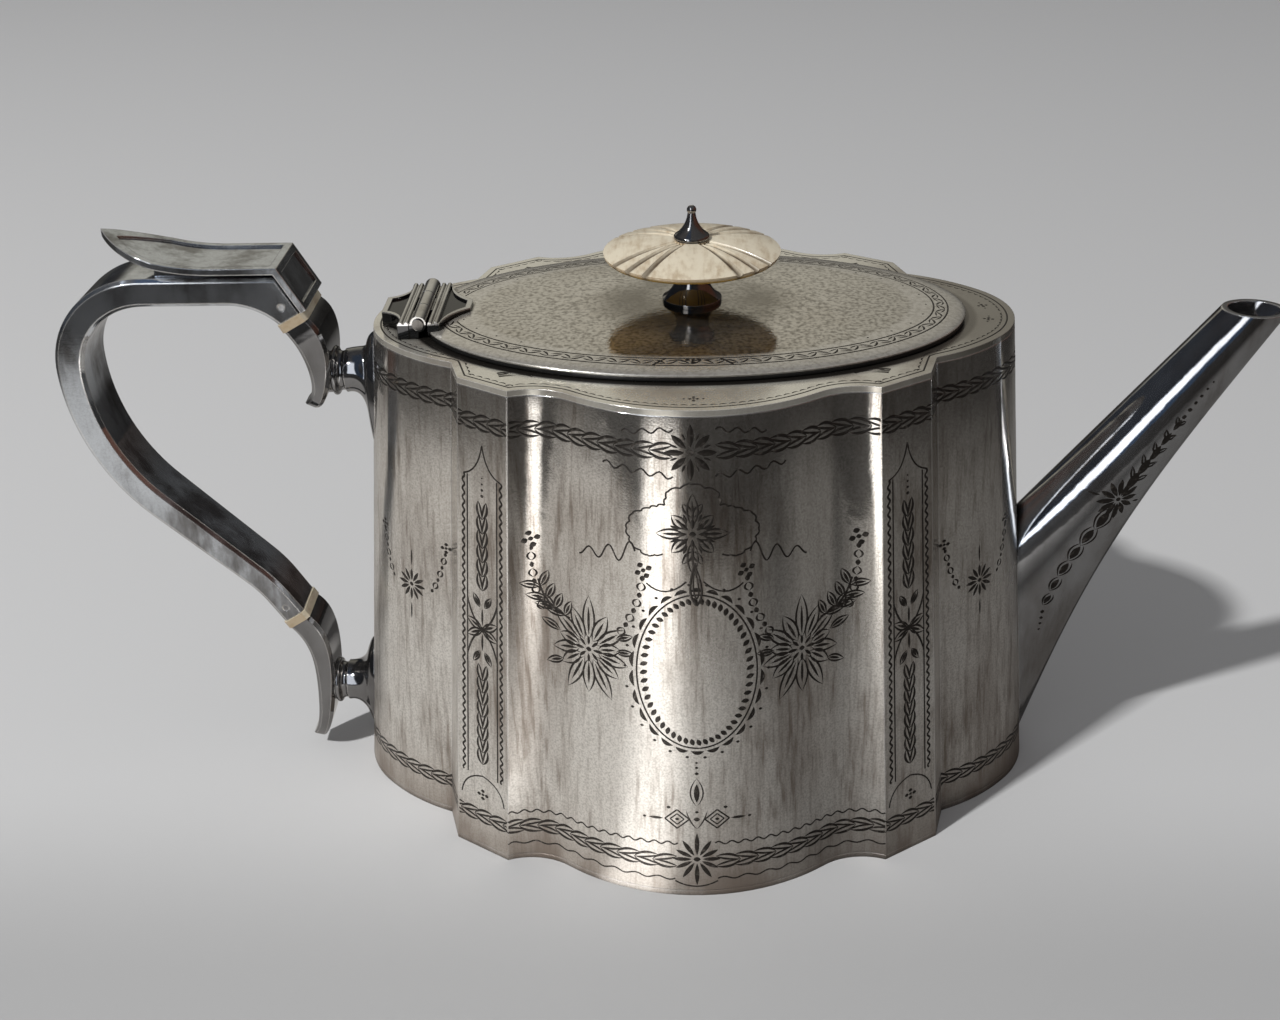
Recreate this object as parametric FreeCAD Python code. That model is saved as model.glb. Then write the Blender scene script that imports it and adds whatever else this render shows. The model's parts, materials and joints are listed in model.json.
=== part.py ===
"""Silver teapot with a shaped oval body, straight spout, hinged lid and insulated handle.

Millimetres. The origin is the centre of the base on the table, +Z is up, the spout points
along +X, the handle along -X, and -Y is the front.
"""
import FreeCAD, Part
import math
import os

V = FreeCAD.Vector

# Body
body_height = 110.0
wall = 1.0
base_gauge = 1.2
top_gauge = 1.2
base_flare = 1.149

# Plan of the body, measured at the top edge
bow_half_depth = 50.4
bow_radius = 39.0
flute_radius = 12.0
arris_x = 36.2
arris_y = 40.2
pilaster_x = 46.7
pilaster_y = 33.0
step_x = 48.9
step_y = 25.1
end_half_length = 68.5
flank_radius = 40.0
end_radius = 22.0

# Mouth and lid
mouth_end_margin = 16.0
mouth_side_margin = 18.9
collar_gauge = 0.9
collar_depth = 5.0
lid_lap = 5.4
lid_rim = 1.0
lid_rim_width = 2.4
lid_rise = 2.5
lid_bend_share = 0.5
lid_gauge = 0.8
lid_seat_gap = 0.2
bezel_clearance = 0.9
bezel_gauge = 0.8
bezel_depth = 4.0

# Hinge
hinge_length = 24.0
hinge_inset = 0.7
hinge_axis_rise = 3.2
knuckle_radius = 1.7
pin_radius = 0.8
pin_clearance = 0.04
pin_head_radius = 1.2
pin_head_height = 0.5
knuckle_gap = 0.2
leaf_clearance = 0.3
lid_leaf_length = 7.9
lid_leaf_tip_half_width = 2.6
leaf_dip_share = 0.28
body_leaf_length = 6.8
body_leaf_tip_half_width = 4.4
leaf_shoulder = 2.4
leaf_half_width = 12.2
leaf_above_axis = 0.1
leaf_border = 1.1
leaf_recess = 0.5
reed_radius = 0.45
reed_pitch = 1.3

# Finial
stud_radius = 1.25
stud_clearance = 0.05
stem_height = 9.5
stem_foot_radius = 6.3
stem_foot_height = 0.7
stem_neck_radius = 3.5
stem_neck_height = 5.0
stem_foot_sweep = 0.9
stem_neck_sweep = 0.35
stem_cup_radius = 5.0
stem_cup_height = 0.8
button_radius = 18.7
button_height = 3.9
button_edge_height = 1.4
button_crown_radius = 3.6
button_dome_fullness = 0.74
button_edge_round = 0.3
button_lobes = 4
button_ribs = 2
button_rib_angle = 14.0
button_groove_radius = 0.8
button_groove_depth = 0.45
tip_height = 7.2
tip_neck_radius = 0.95
tip_ball_radius = 1.0
tip_flat_radius = 0.3
tip_flange_height = 1.0
tip_flange_bulge = 0.2
tip_waist_radius = 2.0
tip_waist_height = 2.5
tip_neck_height = 4.9
tip_collar_radius = 0.8
washer_radius = 5.0
washer_thickness = 0.8
nut_across_flats = 5.0
nut_thickness = 2.4
stud_tail = 1.0

# Spout, heights from the table and lengths out from the top edge of the body's end
spout_wall = 1.0
spout_top_root_height = 62.5
spout_top_root_reach = 4.2
spout_lip_height = 110.3
spout_lip_back_reach = 44.2
spout_lip_front_reach = 58.2
spout_lip_fall = 0.3
spout_lip_half_width = 5.8
spout_knee_height = 74.0
spout_knee_reach = 36.8
spout_knee_half_width = 7.0
spout_heel_height = 36.0
spout_heel_reach = 20.0
spout_heel_half_width = 7.2
spout_toe_height = 4.5
spout_toe_reach = 10.2
spout_toe_half_width = 8.0
strainer_hole_radius = 1.2
strainer_row_pitch = 4.6
strainer_column_pitch = 3.0
strainer_rows = 7
strainer_columns = 3
strainer_lowest = 22.0

# Handle bar and its two silver sockets
bar_thickness = 6.2
bar_width = 15.4
bar_thickness_below = 5.6
bar_width_below = 11.8
bar_chamfer = 0.8
bar_end_straight = 6.0
upper_mount_drop = 11.8
lower_mount_height = 17.7
upper_joint_reach = 14.9
upper_joint_rise = 14.0
upper_joint_angle = -60.0
lower_joint_reach = 15.6
lower_joint_rise = 20.2
lower_joint_angle = -58.0
handle_reach = 64.6
bar_top_rise = 6.0
shoulder_radius = 15.0
crook_radius = 18.0
back_radius_share = 0.418
heel_radius_share = 0.273
insulator_thickness = 2.0
insulator_proud = 0.25
tenon_thickness = 2.8
tenon_width = 9.0
tenon_depth = 5.0
tenon_clearance = 0.05
insulator_pin_radius = 0.8
insulator_pin_inset = 3.0
stub_radius = 4.8
stub_waist_radius = 4.3
stub_bead_radius = 5.4
stub_bead_width = 1.2
socket_tail_thickness = 2.8
socket_tail_width = 5.0
socket_foot_thickness = 4.1
tail_swell_width = 10.4
tail_swell_thickness = 3.4
upper_tail_drop = 2.6
upper_tail_lean = 3.4
lower_tail_drop = 9.5
lower_tail_lean = 3.6
socket_setback = 11.0
escutcheon_half_width = 7.0
neck_share = 0.42
neck_growth = 1.08
shoulder_share = 0.8
shoulder_tall = 0.72
shoulder_wide = 0.86
root_share = 1.7
root_growth = 1.04
escutcheon_flare = 6.0
upper_drop_above = 8.6
upper_drop_below = 22.0
lower_drop_above = 11.0
lower_drop_below = 13.0

# Thumb piece on top of the handle
thumb_width = 17.2
thumb_neck_width = 12.4
thumb_plate = 1.4
thumb_rise = 2.4
thumb_length = 14.0
thumb_tip_reach = 24.3
thumb_tip_lift = 6.4
thumb_straight = 26.0
thumb_shoulder_width = 12.6
thumb_neck_length = 26.0
thumb_panel_border = 1.6
thumb_panel_depth = 0.45

# Values that follow from the sizes above
top_z = body_height
mouth_half_length = end_half_length - mouth_end_margin
mouth_half_width = bow_half_depth - mouth_side_margin
lid_half_length = mouth_half_length + lid_lap
lid_half_width = mouth_half_width + lid_lap
hinge_axis_x = hinge_inset - lid_half_length
lid_seat_z = top_z + lid_seat_gap
lid_rim_z = lid_seat_z + lid_rim
lid_crown_z = lid_rim_z + lid_rise
hinge_axis_z = top_z + hinge_axis_rise
upper_mount_z = body_height - upper_mount_drop
back_radius = body_height * back_radius_share
heel_radius = body_height * heel_radius_share
stem_top_z = lid_crown_z + stem_height
button_top_z = stem_top_z + button_height


def scale_at(z):
    """Size of the plan at height z, as a multiple of the plan at the top edge."""
    return base_flare + (1.0 - base_flare) * z / body_height


def end_x(z):
    """How far the rounded end of the body stands out at height z."""
    return end_half_length * scale_at(z)


def circles_meet(c1, r1, c2, r2, left):
    """Point where two circles cross, on the left or the right of the line from c1 to c2."""
    line = c2 - c1
    along = (r1 * r1 - r2 * r2 + line.Length ** 2) / (2 * line.Length)
    across = math.sqrt(r1 * r1 - along * along)
    unit = V(line).normalize()
    side = V(-unit.y, unit.x, 0) * (across if left else -across)
    return c1 + unit * along + side


def line_meets_circle(point, direction, centre, radius, near):
    """Point where a line crosses a circle, the one closest to a given point."""
    unit = V(direction).normalize()
    foot = point + unit * (centre - point).dot(unit)
    half = math.sqrt(radius * radius - (centre - foot).Length ** 2)
    return min((foot + unit * half, foot - unit * half), key=lambda p: p.distanceToPoint(near))


def lines_meet(p1, d1, p2, d2):
    """Point where two lines in the plan cross."""
    t = ((p2 - p1).cross(d2)).z / (d1.cross(d2)).z
    return p1 + d1 * t


def arc_between(start, end, centre):
    """Arc shorter than a half circle from start to end about a centre."""
    radius = start.distanceToPoint(centre)
    middle = (start + end) * 0.5 - centre
    return Part.Arc(start, centre + middle.normalize() * radius, end).toShape()


def plan_wire(scale, inset, z):
    """Closed outline of the body at height z: bows, flutes, pilasters, steps and rounded ends."""
    bow_c = V(0, (bow_half_depth - bow_radius) * scale, 0)
    arris = V(arris_x, arris_y, 0) * scale
    pilaster = V(pilaster_x, pilaster_y, 0) * scale
    step = V(step_x, step_y, 0) * scale
    end_c = V((end_half_length - end_radius) * scale, 0, 0)
    flute_c = circles_meet(bow_c, (bow_radius + flute_radius) * scale, arris, flute_radius * scale, True)
    flank_c = circles_meet(end_c, (flank_radius - end_radius) * scale, step, flank_radius * scale, True)

    pilaster_run = pilaster - arris
    step_run = step - pilaster
    pilaster_in = V(pilaster_run.y, -pilaster_run.x, 0).normalize() * inset
    step_in = V(step_run.y, -step_run.x, 0).normalize() * inset
    bow_end = bow_c + (flute_c - bow_c).normalize() * (bow_radius * scale - inset)
    arris = line_meets_circle(arris + pilaster_in, pilaster_run, flute_c,
                              flute_radius * scale + inset, arris)
    corner = lines_meet(pilaster + pilaster_in, pilaster_run, step + step_in, step_run)
    step = line_meets_circle(step + step_in, step_run, flank_c, flank_radius * scale - inset, step)
    flank_end = end_c + (end_c - flank_c).normalize() * (end_radius * scale - inset)

    edges = []
    for sx, sy in ((1, 1), (-1, 1), (-1, -1), (1, -1)):
        def at(p):
            return V(p.x * sx, p.y * sy, z)
        run = [
            arc_between(at(flank_end), at(step), at(flank_c)),
            Part.LineSegment(at(step), at(corner)).toShape(),
            Part.LineSegment(at(corner), at(arris)).toShape(),
            arc_between(at(arris), at(bow_end), at(flute_c)),
        ]
        if sx == sy:
            other = V(-bow_end.x * sx, bow_end.y * sy, z)
            run.append(arc_between(at(bow_end), other, at(bow_c)))
        else:
            run.reverse()
            other = V(flank_end.x * sx, -flank_end.y * sy, z)
            run.append(arc_between(at(flank_end), other, at(end_c)))
        edges += run
    return Part.Wire(edges)


def body_solid(z0, z1, inset):
    """Solid of the tapered body between two heights, its sides drawn in by inset."""
    wires = [plan_wire(scale_at(z), inset, z) for z in (z0, z1)]
    return Part.makeLoft(wires, True, True)


def ellipse_wire(half_length, half_width, z, x=0.0):
    """Level ellipse whose length may lie along X or along Y."""
    if half_length >= half_width:
        curve = Part.Ellipse(V(x + half_length, 0, z), V(x, half_width, z), V(x, 0, z))
    else:
        curve = Part.Ellipse(V(x, half_width, z), V(x - half_length, 0, z), V(x, 0, z))
    return Part.Wire(curve.toShape())


def oval_block(half_length, half_width, z0, z1):
    """Upright elliptic cylinder between two heights."""
    return Part.Face(ellipse_wire(half_length, half_width, z0)).extrude(V(0, 0, z1 - z0))


def oval_ring(half_length, half_width, gauge, z0, z1):
    """Upright elliptic tube, its outside on the given half axes."""
    outer = oval_block(half_length, half_width, z0, z1)
    return outer.cut(oval_block(half_length - gauge, half_width - gauge, z0, z1))


def turned(points, centre=V(0, 0, 0)):
    """Solid turned about the upright axis from (radius, height) points and arcs of three points."""
    edges = []
    last = points[0]
    for item in points[1:] + [points[0]]:
        if isinstance(item[0], tuple):
            through, end = item
            edges.append(Part.Arc(*(V(r, 0, h) for r, h in (last, through, end))).toShape())
            last = end
        elif item != last:
            edges.append(Part.LineSegment(V(last[0], 0, last[1]), V(item[0], 0, item[1])).toShape())
            last = item
    solid = Part.Face(Part.Wire(edges)).revolve(V(0, 0, 0), V(0, 0, 1), 360)
    return solid.translated(centre)


def chamfered_section(centre, heading, thickness, width, chamfer):
    """Eight-sided section of the bar, square to its heading in the upright middle plane."""
    along = V(heading.z, 0, -heading.x)
    t, w = thickness / 2, width / 2
    corners = [(t, w - chamfer), (t - chamfer, w), (chamfer - t, w), (-t, w - chamfer),
               (-t, chamfer - w), (chamfer - t, -w), (t - chamfer, -w), (t, chamfer - w)]
    points = [centre + along * a + V(0, b, 0) for a, b in corners]
    return Part.makePolygon(points + points[:1])


def heading_at(degrees):
    """Unit direction in the upright middle plane, 0 along +X and 90 along +Z."""
    return V(math.cos(math.radians(degrees)), 0, math.sin(math.radians(degrees)))


def build_body():
    """Wall, base, top and mouth collar, all soldered, with the strainer pierced behind the spout."""
    wall_top = top_z - top_gauge
    shell = body_solid(base_gauge, wall_top, 0).cut(body_solid(base_gauge, wall_top, wall))
    holes = []
    for row in range(strainer_rows):
        for column in range(strainer_columns):
            y = (column - (strainer_columns - 1) / 2) * strainer_column_pitch
            z = strainer_lowest + row * strainer_row_pitch
            holes.append(Part.makeCylinder(strainer_hole_radius, end_x(0), V(0, y, z), V(1, 0, 0)))
    mouth = oval_block(mouth_half_length, mouth_half_width, wall_top, top_z)
    collar_top = wall_top
    return {
        "body_wall": shell.cut(holes),
        "base_plate": body_solid(0, base_gauge, 0),
        "top_plate": body_solid(wall_top, top_z, 0).cut(mouth),
        "mouth_collar": oval_ring(mouth_half_length + collar_gauge, mouth_half_width + collar_gauge,
                                  collar_gauge, collar_top - collar_depth, collar_top),
    }


def spout_loft(gauge):
    """Solid of the spout drawn in by gauge, through level ellipses from toe to past the lip."""
    slope = (spout_lip_back_reach - spout_top_root_reach) / (spout_lip_height - spout_top_root_height)
    lean = math.hypot(1.0, slope)
    knee_run = (spout_lip_front_reach - spout_knee_reach) / (spout_lip_height - spout_knee_height)
    above = spout_lip_fall + 2 * spout_wall
    stations = [
        (spout_toe_height, spout_toe_reach, spout_toe_half_width),
        (spout_heel_height, spout_heel_reach, spout_heel_half_width),
        (spout_knee_height, spout_knee_reach, spout_knee_half_width),
        (spout_lip_height, spout_lip_front_reach, spout_lip_half_width),
        (spout_lip_height + above, spout_lip_front_reach + knee_run * above, spout_lip_half_width),
    ]
    wires = []
    for z, front, half_width in stations:
        back = spout_top_root_reach + slope * (z - spout_top_root_height)
        half_length = (front - back) / 2 - gauge * lean
        wires.append(ellipse_wire(half_length, half_width - gauge, z,
                                  end_half_length + (front + back) / 2))
    return Part.makeLoft(wires, True, False)


def build_spout():
    """Tapered spout, open at the lip and over the pierced holes."""
    body = body_solid(0, top_z, 0)
    back = end_half_length + spout_lip_back_reach
    run = spout_lip_front_reach - spout_lip_back_reach
    fall = V(run, 0, -spout_lip_fall).normalize()
    room = end_half_length
    trim = Part.makePlane(2 * room, 2 * room, V(back, -room, spout_lip_height) - fall * room,
                          V(-fall.z, 0, fall.x), fall)
    trim = trim.extrude(V(0, 0, room))
    outer = spout_loft(0).cut([body, trim])
    inner = spout_loft(spout_wall)
    return {"spout": largest(outer.cut(inner))}


def largest(shape):
    """The biggest solid of a shape."""
    return max(shape.Solids, key=lambda s: s.Volume)


def build_lid():
    """Lid cover with its bezel underneath, trimmed straight beside the hinge barrel."""
    inner = 1.0 - lid_rim_width / lid_half_width
    crown = lid_rim + lid_rise
    bend = lid_bend_share
    drop = lid_rise * bend * bend
    profile = [
        (0, crown - lid_gauge),
        (0, crown),
        ((bend, crown - drop), (1, lid_rim)),
        (1, 0),
        (inner, 0),
        (inner, crown - lid_gauge - lid_rise * inner * inner),
        ((bend, crown - lid_gauge - drop), (0, crown - lid_gauge)),
    ]
    stretch = FreeCAD.Matrix()
    stretch.scale(lid_half_length, lid_half_width, 1)
    cover = turned(profile).transformGeometry(stretch).translated(V(0, 0, lid_seat_z))
    edge = hinge_axis_x + knuckle_radius + leaf_clearance
    beyond = Part.makeBox(lid_half_length, 2 * lid_half_width, 4 * crown,
                          V(edge - lid_half_length, -lid_half_width, lid_seat_z - crown))
    stud_hole = Part.makeCylinder(stud_radius + stud_clearance, 4 * crown, V(0, 0, lid_seat_z - crown))
    cover = cover.cut([beyond, stud_hole])
    ring = oval_ring(mouth_half_length - bezel_clearance, mouth_half_width - bezel_clearance,
                     bezel_gauge, lid_seat_z - bezel_depth, lid_crown_z)
    skin = turned([(0, -4 * bezel_depth), (0, crown - lid_gauge),
                   ((bend, crown - lid_gauge - drop), (1, lid_rim - lid_gauge)), (1, -4 * bezel_depth)])
    skin = skin.transformGeometry(stretch).translated(V(0, 0, lid_seat_z))
    return {"lid_cover": cover, "lid_bezel": largest(ring.common(skin).cut(cover))}


def leaf_plan(length, tip_half_width, offset, z):
    """Outline of one hinge leaf, drawn in by offset, reaching along +X from the barrel's side."""
    start = knuckle_radius + leaf_clearance + offset
    shoulder = start + leaf_shoulder - offset
    tip = start + length - 2 * offset
    wide, narrow = leaf_half_width - offset, tip_half_width - offset / 2
    dip = V((shoulder + tip) / 2 - leaf_shoulder * leaf_dip_share, (wide + narrow) / 2 - narrow / 2, z)
    a, b = V(start, wide, z), V(shoulder, wide, z)
    c, d = V(tip, narrow, z), V(tip, -narrow, z)
    e, f = V(shoulder, -wide, z), V(start, -wide, z)
    return Part.Wire([
        Part.LineSegment(a, b).toShape(),
        Part.Arc(b, dip, c).toShape(),
        Part.LineSegment(c, d).toShape(),
        Part.Arc(d, V(dip.x, -dip.y, z), e).toShape(),
        Part.LineSegment(e, f).toShape(),
        Part.LineSegment(f, a).toShape(),
    ])


def hinge_leaf(length, tip_half_width, bottom, top):
    """Cast leaf about the barrel axis, with a sunk panel and reeds beside the barrel."""
    plate = Part.Face(leaf_plan(length, tip_half_width, 0, bottom)).extrude(V(0, 0, top - bottom))
    reeds = []
    first = knuckle_radius + leaf_clearance + reed_radius
    for count in range(2):
        reeds.append(Part.makeCylinder(reed_radius, 2 * leaf_half_width,
                                       V(first + count * reed_pitch, -leaf_half_width, top), V(0, 1, 0)))
    panel = Part.Face(leaf_plan(length, tip_half_width, leaf_border, top - leaf_recess))
    panel = panel.extrude(V(0, 0, 2 * leaf_recess))
    reed_land = first + reed_pitch + reed_radius
    panel = panel.cut(Part.makeBox(reed_land, 4 * leaf_half_width, 4 * leaf_recess,
                                   V(0, -2 * leaf_half_width, top - 2 * leaf_recess)))
    return plate.cut(panel).fuse(reeds)


def build_hinge(lid_cover):
    """Two leaves whose knuckles share one pin; the middle knuckle belongs to the lid."""
    third = hinge_length / 3
    leaf_top = leaf_above_axis
    barrel_bore = Part.makeCylinder(pin_radius + pin_clearance, 2 * hinge_length,
                                    V(0, -hinge_length, 0), V(0, 1, 0))

    def knuckle(y0, y1, foot):
        barrel = Part.makeCylinder(knuckle_radius, y1 - y0, V(0, y0, 0), V(0, 1, 0))
        reach = knuckle_radius + leaf_clearance + reed_radius
        web = Part.makeBox(reach, y1 - y0, leaf_top - foot, V(0, y0, foot))
        return barrel.fuse(web)

    fixed = hinge_leaf(body_leaf_length, body_leaf_tip_half_width, -hinge_axis_rise, leaf_top)
    for y0 in (-hinge_length / 2, third / 2):
        fixed = fixed.fuse(knuckle(y0, y0 + third, -hinge_axis_rise))
    fixed = fixed.cut(barrel_bore).mirror(V(0, 0, 0), V(1, 0, 0))

    lid_top = lid_rim_z - hinge_axis_z
    moving = hinge_leaf(lid_leaf_length, lid_leaf_tip_half_width, lid_top - lid_rim / 2, leaf_top)
    moving = moving.fuse(knuckle(knuckle_gap - third / 2, third / 2 - knuckle_gap, -knuckle_radius / 2))
    moving = moving.cut(barrel_bore)

    shank = Part.makeCylinder(pin_radius, hinge_length, V(0, -hinge_length / 2, 0), V(0, 1, 0))
    heads = [Part.makeCylinder(pin_head_radius, pin_head_height, V(0, y, 0), V(0, 1, 0))
             for y in (-hinge_length / 2 - pin_head_height, hinge_length / 2)]
    place = V(hinge_axis_x, 0, hinge_axis_z)
    return {
        "hinge_body_leaf": fixed.translated(place).removeSplitter(),
        "hinge_lid_leaf": largest(moving.translated(place).cut(lid_cover)).removeSplitter(),
        "hinge_pin": shank.fuse(heads).translated(place).removeSplitter(),
    }


def build_finial(lid_cover):
    """Stem, fluted button and turned tip, clamped on the lid by one stud with a nut below."""
    bore = stud_radius + stud_clearance
    sink = lid_rise / 4
    stem = turned([
        (bore, -sink),
        (stem_foot_radius, -sink),
        (stem_foot_radius, stem_foot_height),
        ((stem_neck_radius + stem_foot_sweep, stem_neck_height / 2), (stem_neck_radius, stem_neck_height)),
        ((stem_neck_radius + stem_neck_sweep, (stem_neck_height + stem_height - stem_cup_height) / 2),
         (stem_cup_radius, stem_height - stem_cup_height)),
        (stem_cup_radius, stem_height),
        (bore, stem_height),
    ], V(0, 0, lid_crown_z)).cut(lid_cover)

    crown_z, edge_z = button_height, button_edge_height
    half = (button_crown_radius + button_radius) / 2
    dome_mid = (half, edge_z + (crown_z - edge_z) * button_dome_fullness)
    dome = [(button_crown_radius, crown_z), (dome_mid[0], dome_mid[1]), (button_radius, edge_z)]
    button = turned([
        (bore, 0),
        (button_radius - edge_z, 0),
        ((button_radius - edge_z * button_edge_round, edge_z * button_edge_round), (button_radius, edge_z)),
        (dome[1], dome[0]),
        (bore, crown_z),
    ])
    meridian = Part.Arc(*(V(r, 0, h) for r, h in dome)).toShape().Curve
    middle, ring = meridian.Center, meridian.Radius
    groove = Part.makeTorus(ring + button_groove_radius - button_groove_depth, button_groove_radius,
                            middle, V(0, 1, 0))
    front_half = Part.makeBox(2 * ring, 4 * button_groove_radius, 4 * ring,
                              V(button_crown_radius, -2 * button_groove_radius, middle.z - 2 * ring))
    groove = groove.common(front_half)
    turn = 360 / button_lobes
    cuts = []
    for lobe in range(button_lobes):
        for rib in range(button_ribs + 1):
            angle = turn * (lobe + 0.5) + (rib - button_ribs / 2) * button_rib_angle
            cuts.append(groove.rotated(V(0, 0, 0), V(0, 0, 1), angle))
    button = button.cut(cuts).translated(V(0, 0, stem_top_z))

    ball_z = tip_height - tip_ball_radius
    tip = turned([
        (0, 0),
        (button_crown_radius, 0),
        ((button_crown_radius + tip_flange_bulge, tip_flange_height / 2),
         (button_crown_radius, tip_flange_height)),
        ((tip_waist_radius, tip_waist_height), (tip_neck_radius, tip_neck_height)),
        (tip_collar_radius, ball_z - tip_ball_radius / 2),
        ((tip_ball_radius, ball_z), (tip_flat_radius, tip_height)),
        (0, tip_height),
    ], V(0, 0, button_top_z))
    thread_top = button_top_z + stud_radius
    socket = Part.makeCylinder(stud_radius, thread_top - button_top_z, V(0, 0, button_top_z))
    under = lid_crown_z - lid_gauge
    nut_top = under - washer_thickness
    tail = nut_top - nut_thickness - stud_tail
    washer = Part.makeCylinder(washer_radius, washer_thickness, V(0, 0, nut_top))
    nut_wire = Part.makePolygon([V(*(nut_across_flats / math.sqrt(3) * f(math.radians(60 * k))
                                     for f in (math.cos, math.sin)), nut_top - nut_thickness)
                                 for k in range(7)])
    nut = Part.Face(nut_wire).extrude(V(0, 0, nut_thickness))
    stud = Part.makeCylinder(stud_radius, thread_top - tail, V(0, 0, tail))
    stud_room = Part.makeCylinder(bore, thread_top - tail, V(0, 0, tail))
    return {
        "finial_stem": stem,
        "finial_button": button,
        "finial_tip": tip.cut(socket),
        "finial_stud": stud,
        "finial_washer": largest(washer.cut([stud_room, lid_cover])),
        "finial_nut": nut.cut(stud),
    }


def handle_outline(upper, lower):
    """Closed outline of the bar in the upright middle plane, thinner at its lower end.

    The outer side has a square shoulder over the upper joint; the inner side turns there in an arc.
    """
    up, down = heading_at(upper_joint_angle), heading_at(lower_joint_angle)
    up_out, down_out = V(-up.z, 0, up.x), V(down.z, 0, -down.x)
    half, half_below = bar_thickness / 2, bar_thickness_below / 2
    top = upper.z + bar_top_rise
    back_x = -end_x(upper_mount_z) - handle_reach
    crook_c = V(back_x + crook_radius, 0, top - crook_radius)
    back_c = V(back_x + back_radius, 0, crook_c.z)
    heel_end = lower - down * bar_end_straight
    heel_c = heel_end + down_out * heel_radius
    span = heel_c - back_c

    def side(sign):
        """Stations of the outer side, sign 1, or the inner side, from the crook to the lower joint."""
        crook_r, back_r = crook_radius + sign * half, back_radius + sign * half
        heel_r = heel_radius - sign * half_below
        tilt = math.atan2(span.z, span.x) - math.acos((back_r + heel_r) / span.Length)
        toward = V(math.cos(tilt), 0, math.sin(tilt))
        edge = down_out * (sign * half_below)
        return [crook_c + V(0, 0, crook_r), crook_c - V(crook_r, 0, 0), back_c + toward * back_r,
                heel_c - toward * heel_r, heel_end + edge, lower + edge]

    outer, inner = side(1), side(-1)
    upper_outer, upper_inner = upper + up_out * half, upper - up_out * half
    corner = upper_outer + up * ((top + half - upper_outer.z) / up.z)
    shoulder_z = top - half - shoulder_radius
    shoulder_run = math.sqrt(shoulder_radius ** 2 - (upper_inner.z - shoulder_z) ** 2)
    shoulder_c = V(upper_inner.x - shoulder_run, 0, shoulder_z)
    shoulder_start = shoulder_c + V(0, 0, shoulder_radius)
    return Part.Wire([
        Part.LineSegment(upper_outer, corner).toShape(),
        Part.LineSegment(corner, outer[0]).toShape(),
        arc_between(outer[0], outer[1], crook_c),
        arc_between(outer[1], outer[2], back_c),
        Part.LineSegment(outer[2], outer[3]).toShape(),
        arc_between(outer[3], outer[4], heel_c),
        Part.LineSegment(outer[4], outer[5]).toShape(),
        Part.LineSegment(outer[5], inner[5]).toShape(),
        Part.LineSegment(inner[5], inner[4]).toShape(),
        arc_between(inner[4], inner[3], heel_c),
        Part.LineSegment(inner[3], inner[2]).toShape(),
        arc_between(inner[2], inner[1], back_c),
        arc_between(inner[1], inner[0], crook_c),
        Part.LineSegment(inner[0], shoulder_start).toShape(),
        arc_between(shoulder_start, upper_inner, shoulder_c),
        Part.LineSegment(upper_inner, upper_outer).toShape(),
    ])


def handle_bar(upper, lower):
    """Bar cut from its outline, narrowing towards its foot, with its long edges bevelled."""
    blank = Part.Face(handle_outline(upper, lower)).extrude(V(0, 2 * bar_width, 0))
    blank = blank.translated(V(0, -bar_width, 0))
    narrowing = (bar_width - bar_width_below) / (upper.z - lower.z) / 2
    box = blank.BoundBox
    rake = []
    for z in (box.ZMin - bar_width, box.ZMax + bar_width):
        rake.append((bar_width_below / 2 + narrowing * (z - lower.z), z))
    corners = [V(box.XMin, y, z) for y, z in (rake[0], rake[1], (-rake[1][0], rake[1][1]),
                                              (-rake[0][0], rake[0][1]), rake[0])]
    bar = blank.common(Part.Face(Part.makePolygon(corners)).extrude(V(box.XLength, 0, 0)))
    bar = bar.Solids[0]
    ends = ((upper, heading_at(upper_joint_angle)), (lower, heading_at(lower_joint_angle)))
    long_edges = []
    for face in bar.Faces:
        if abs(face.normalAt(0, 0).y) < 0.9:
            continue
        for edge in face.Edges:
            middle = edge.CenterOfMass
            if all(abs((middle - point).dot(heading)) > bar_chamfer / 10 for point, heading in ends):
                long_edges.append(edge)
    return bar.makeChamfer(bar_chamfer, long_edges)


def tenon_block(centre, heading, reach, grow):
    """Rectangular tenon centred on a joint, reaching the same way both along its heading."""
    section = chamfered_section(centre - heading * reach, heading, tenon_thickness + 2 * grow,
                                tenon_width + 2 * grow, bar_chamfer / 2)
    return Part.Face(section).extrude(heading * (2 * reach))


def insulator(centre, heading, thickness, width):
    """Bone slab across the bar with a tenon into each side."""
    slab = chamfered_section(centre - heading * (insulator_thickness / 2), heading,
                             thickness + 2 * insulator_proud, width + 2 * insulator_proud, bar_chamfer)
    slab = Part.Face(slab).extrude(heading * insulator_thickness)
    return slab.fuse(tenon_block(centre, heading, insulator_thickness / 2 + tenon_depth, 0))


def insulator_pins(centre, heading, width):
    """Two rivets across the bar, one each side of the insulator."""
    reach = insulator_thickness / 2 + insulator_pin_inset
    return [Part.makeCylinder(insulator_pin_radius, width,
                              centre + heading * s - V(0, width / 2, 0), V(0, 1, 0))
            for s in (-reach, reach)]


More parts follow.
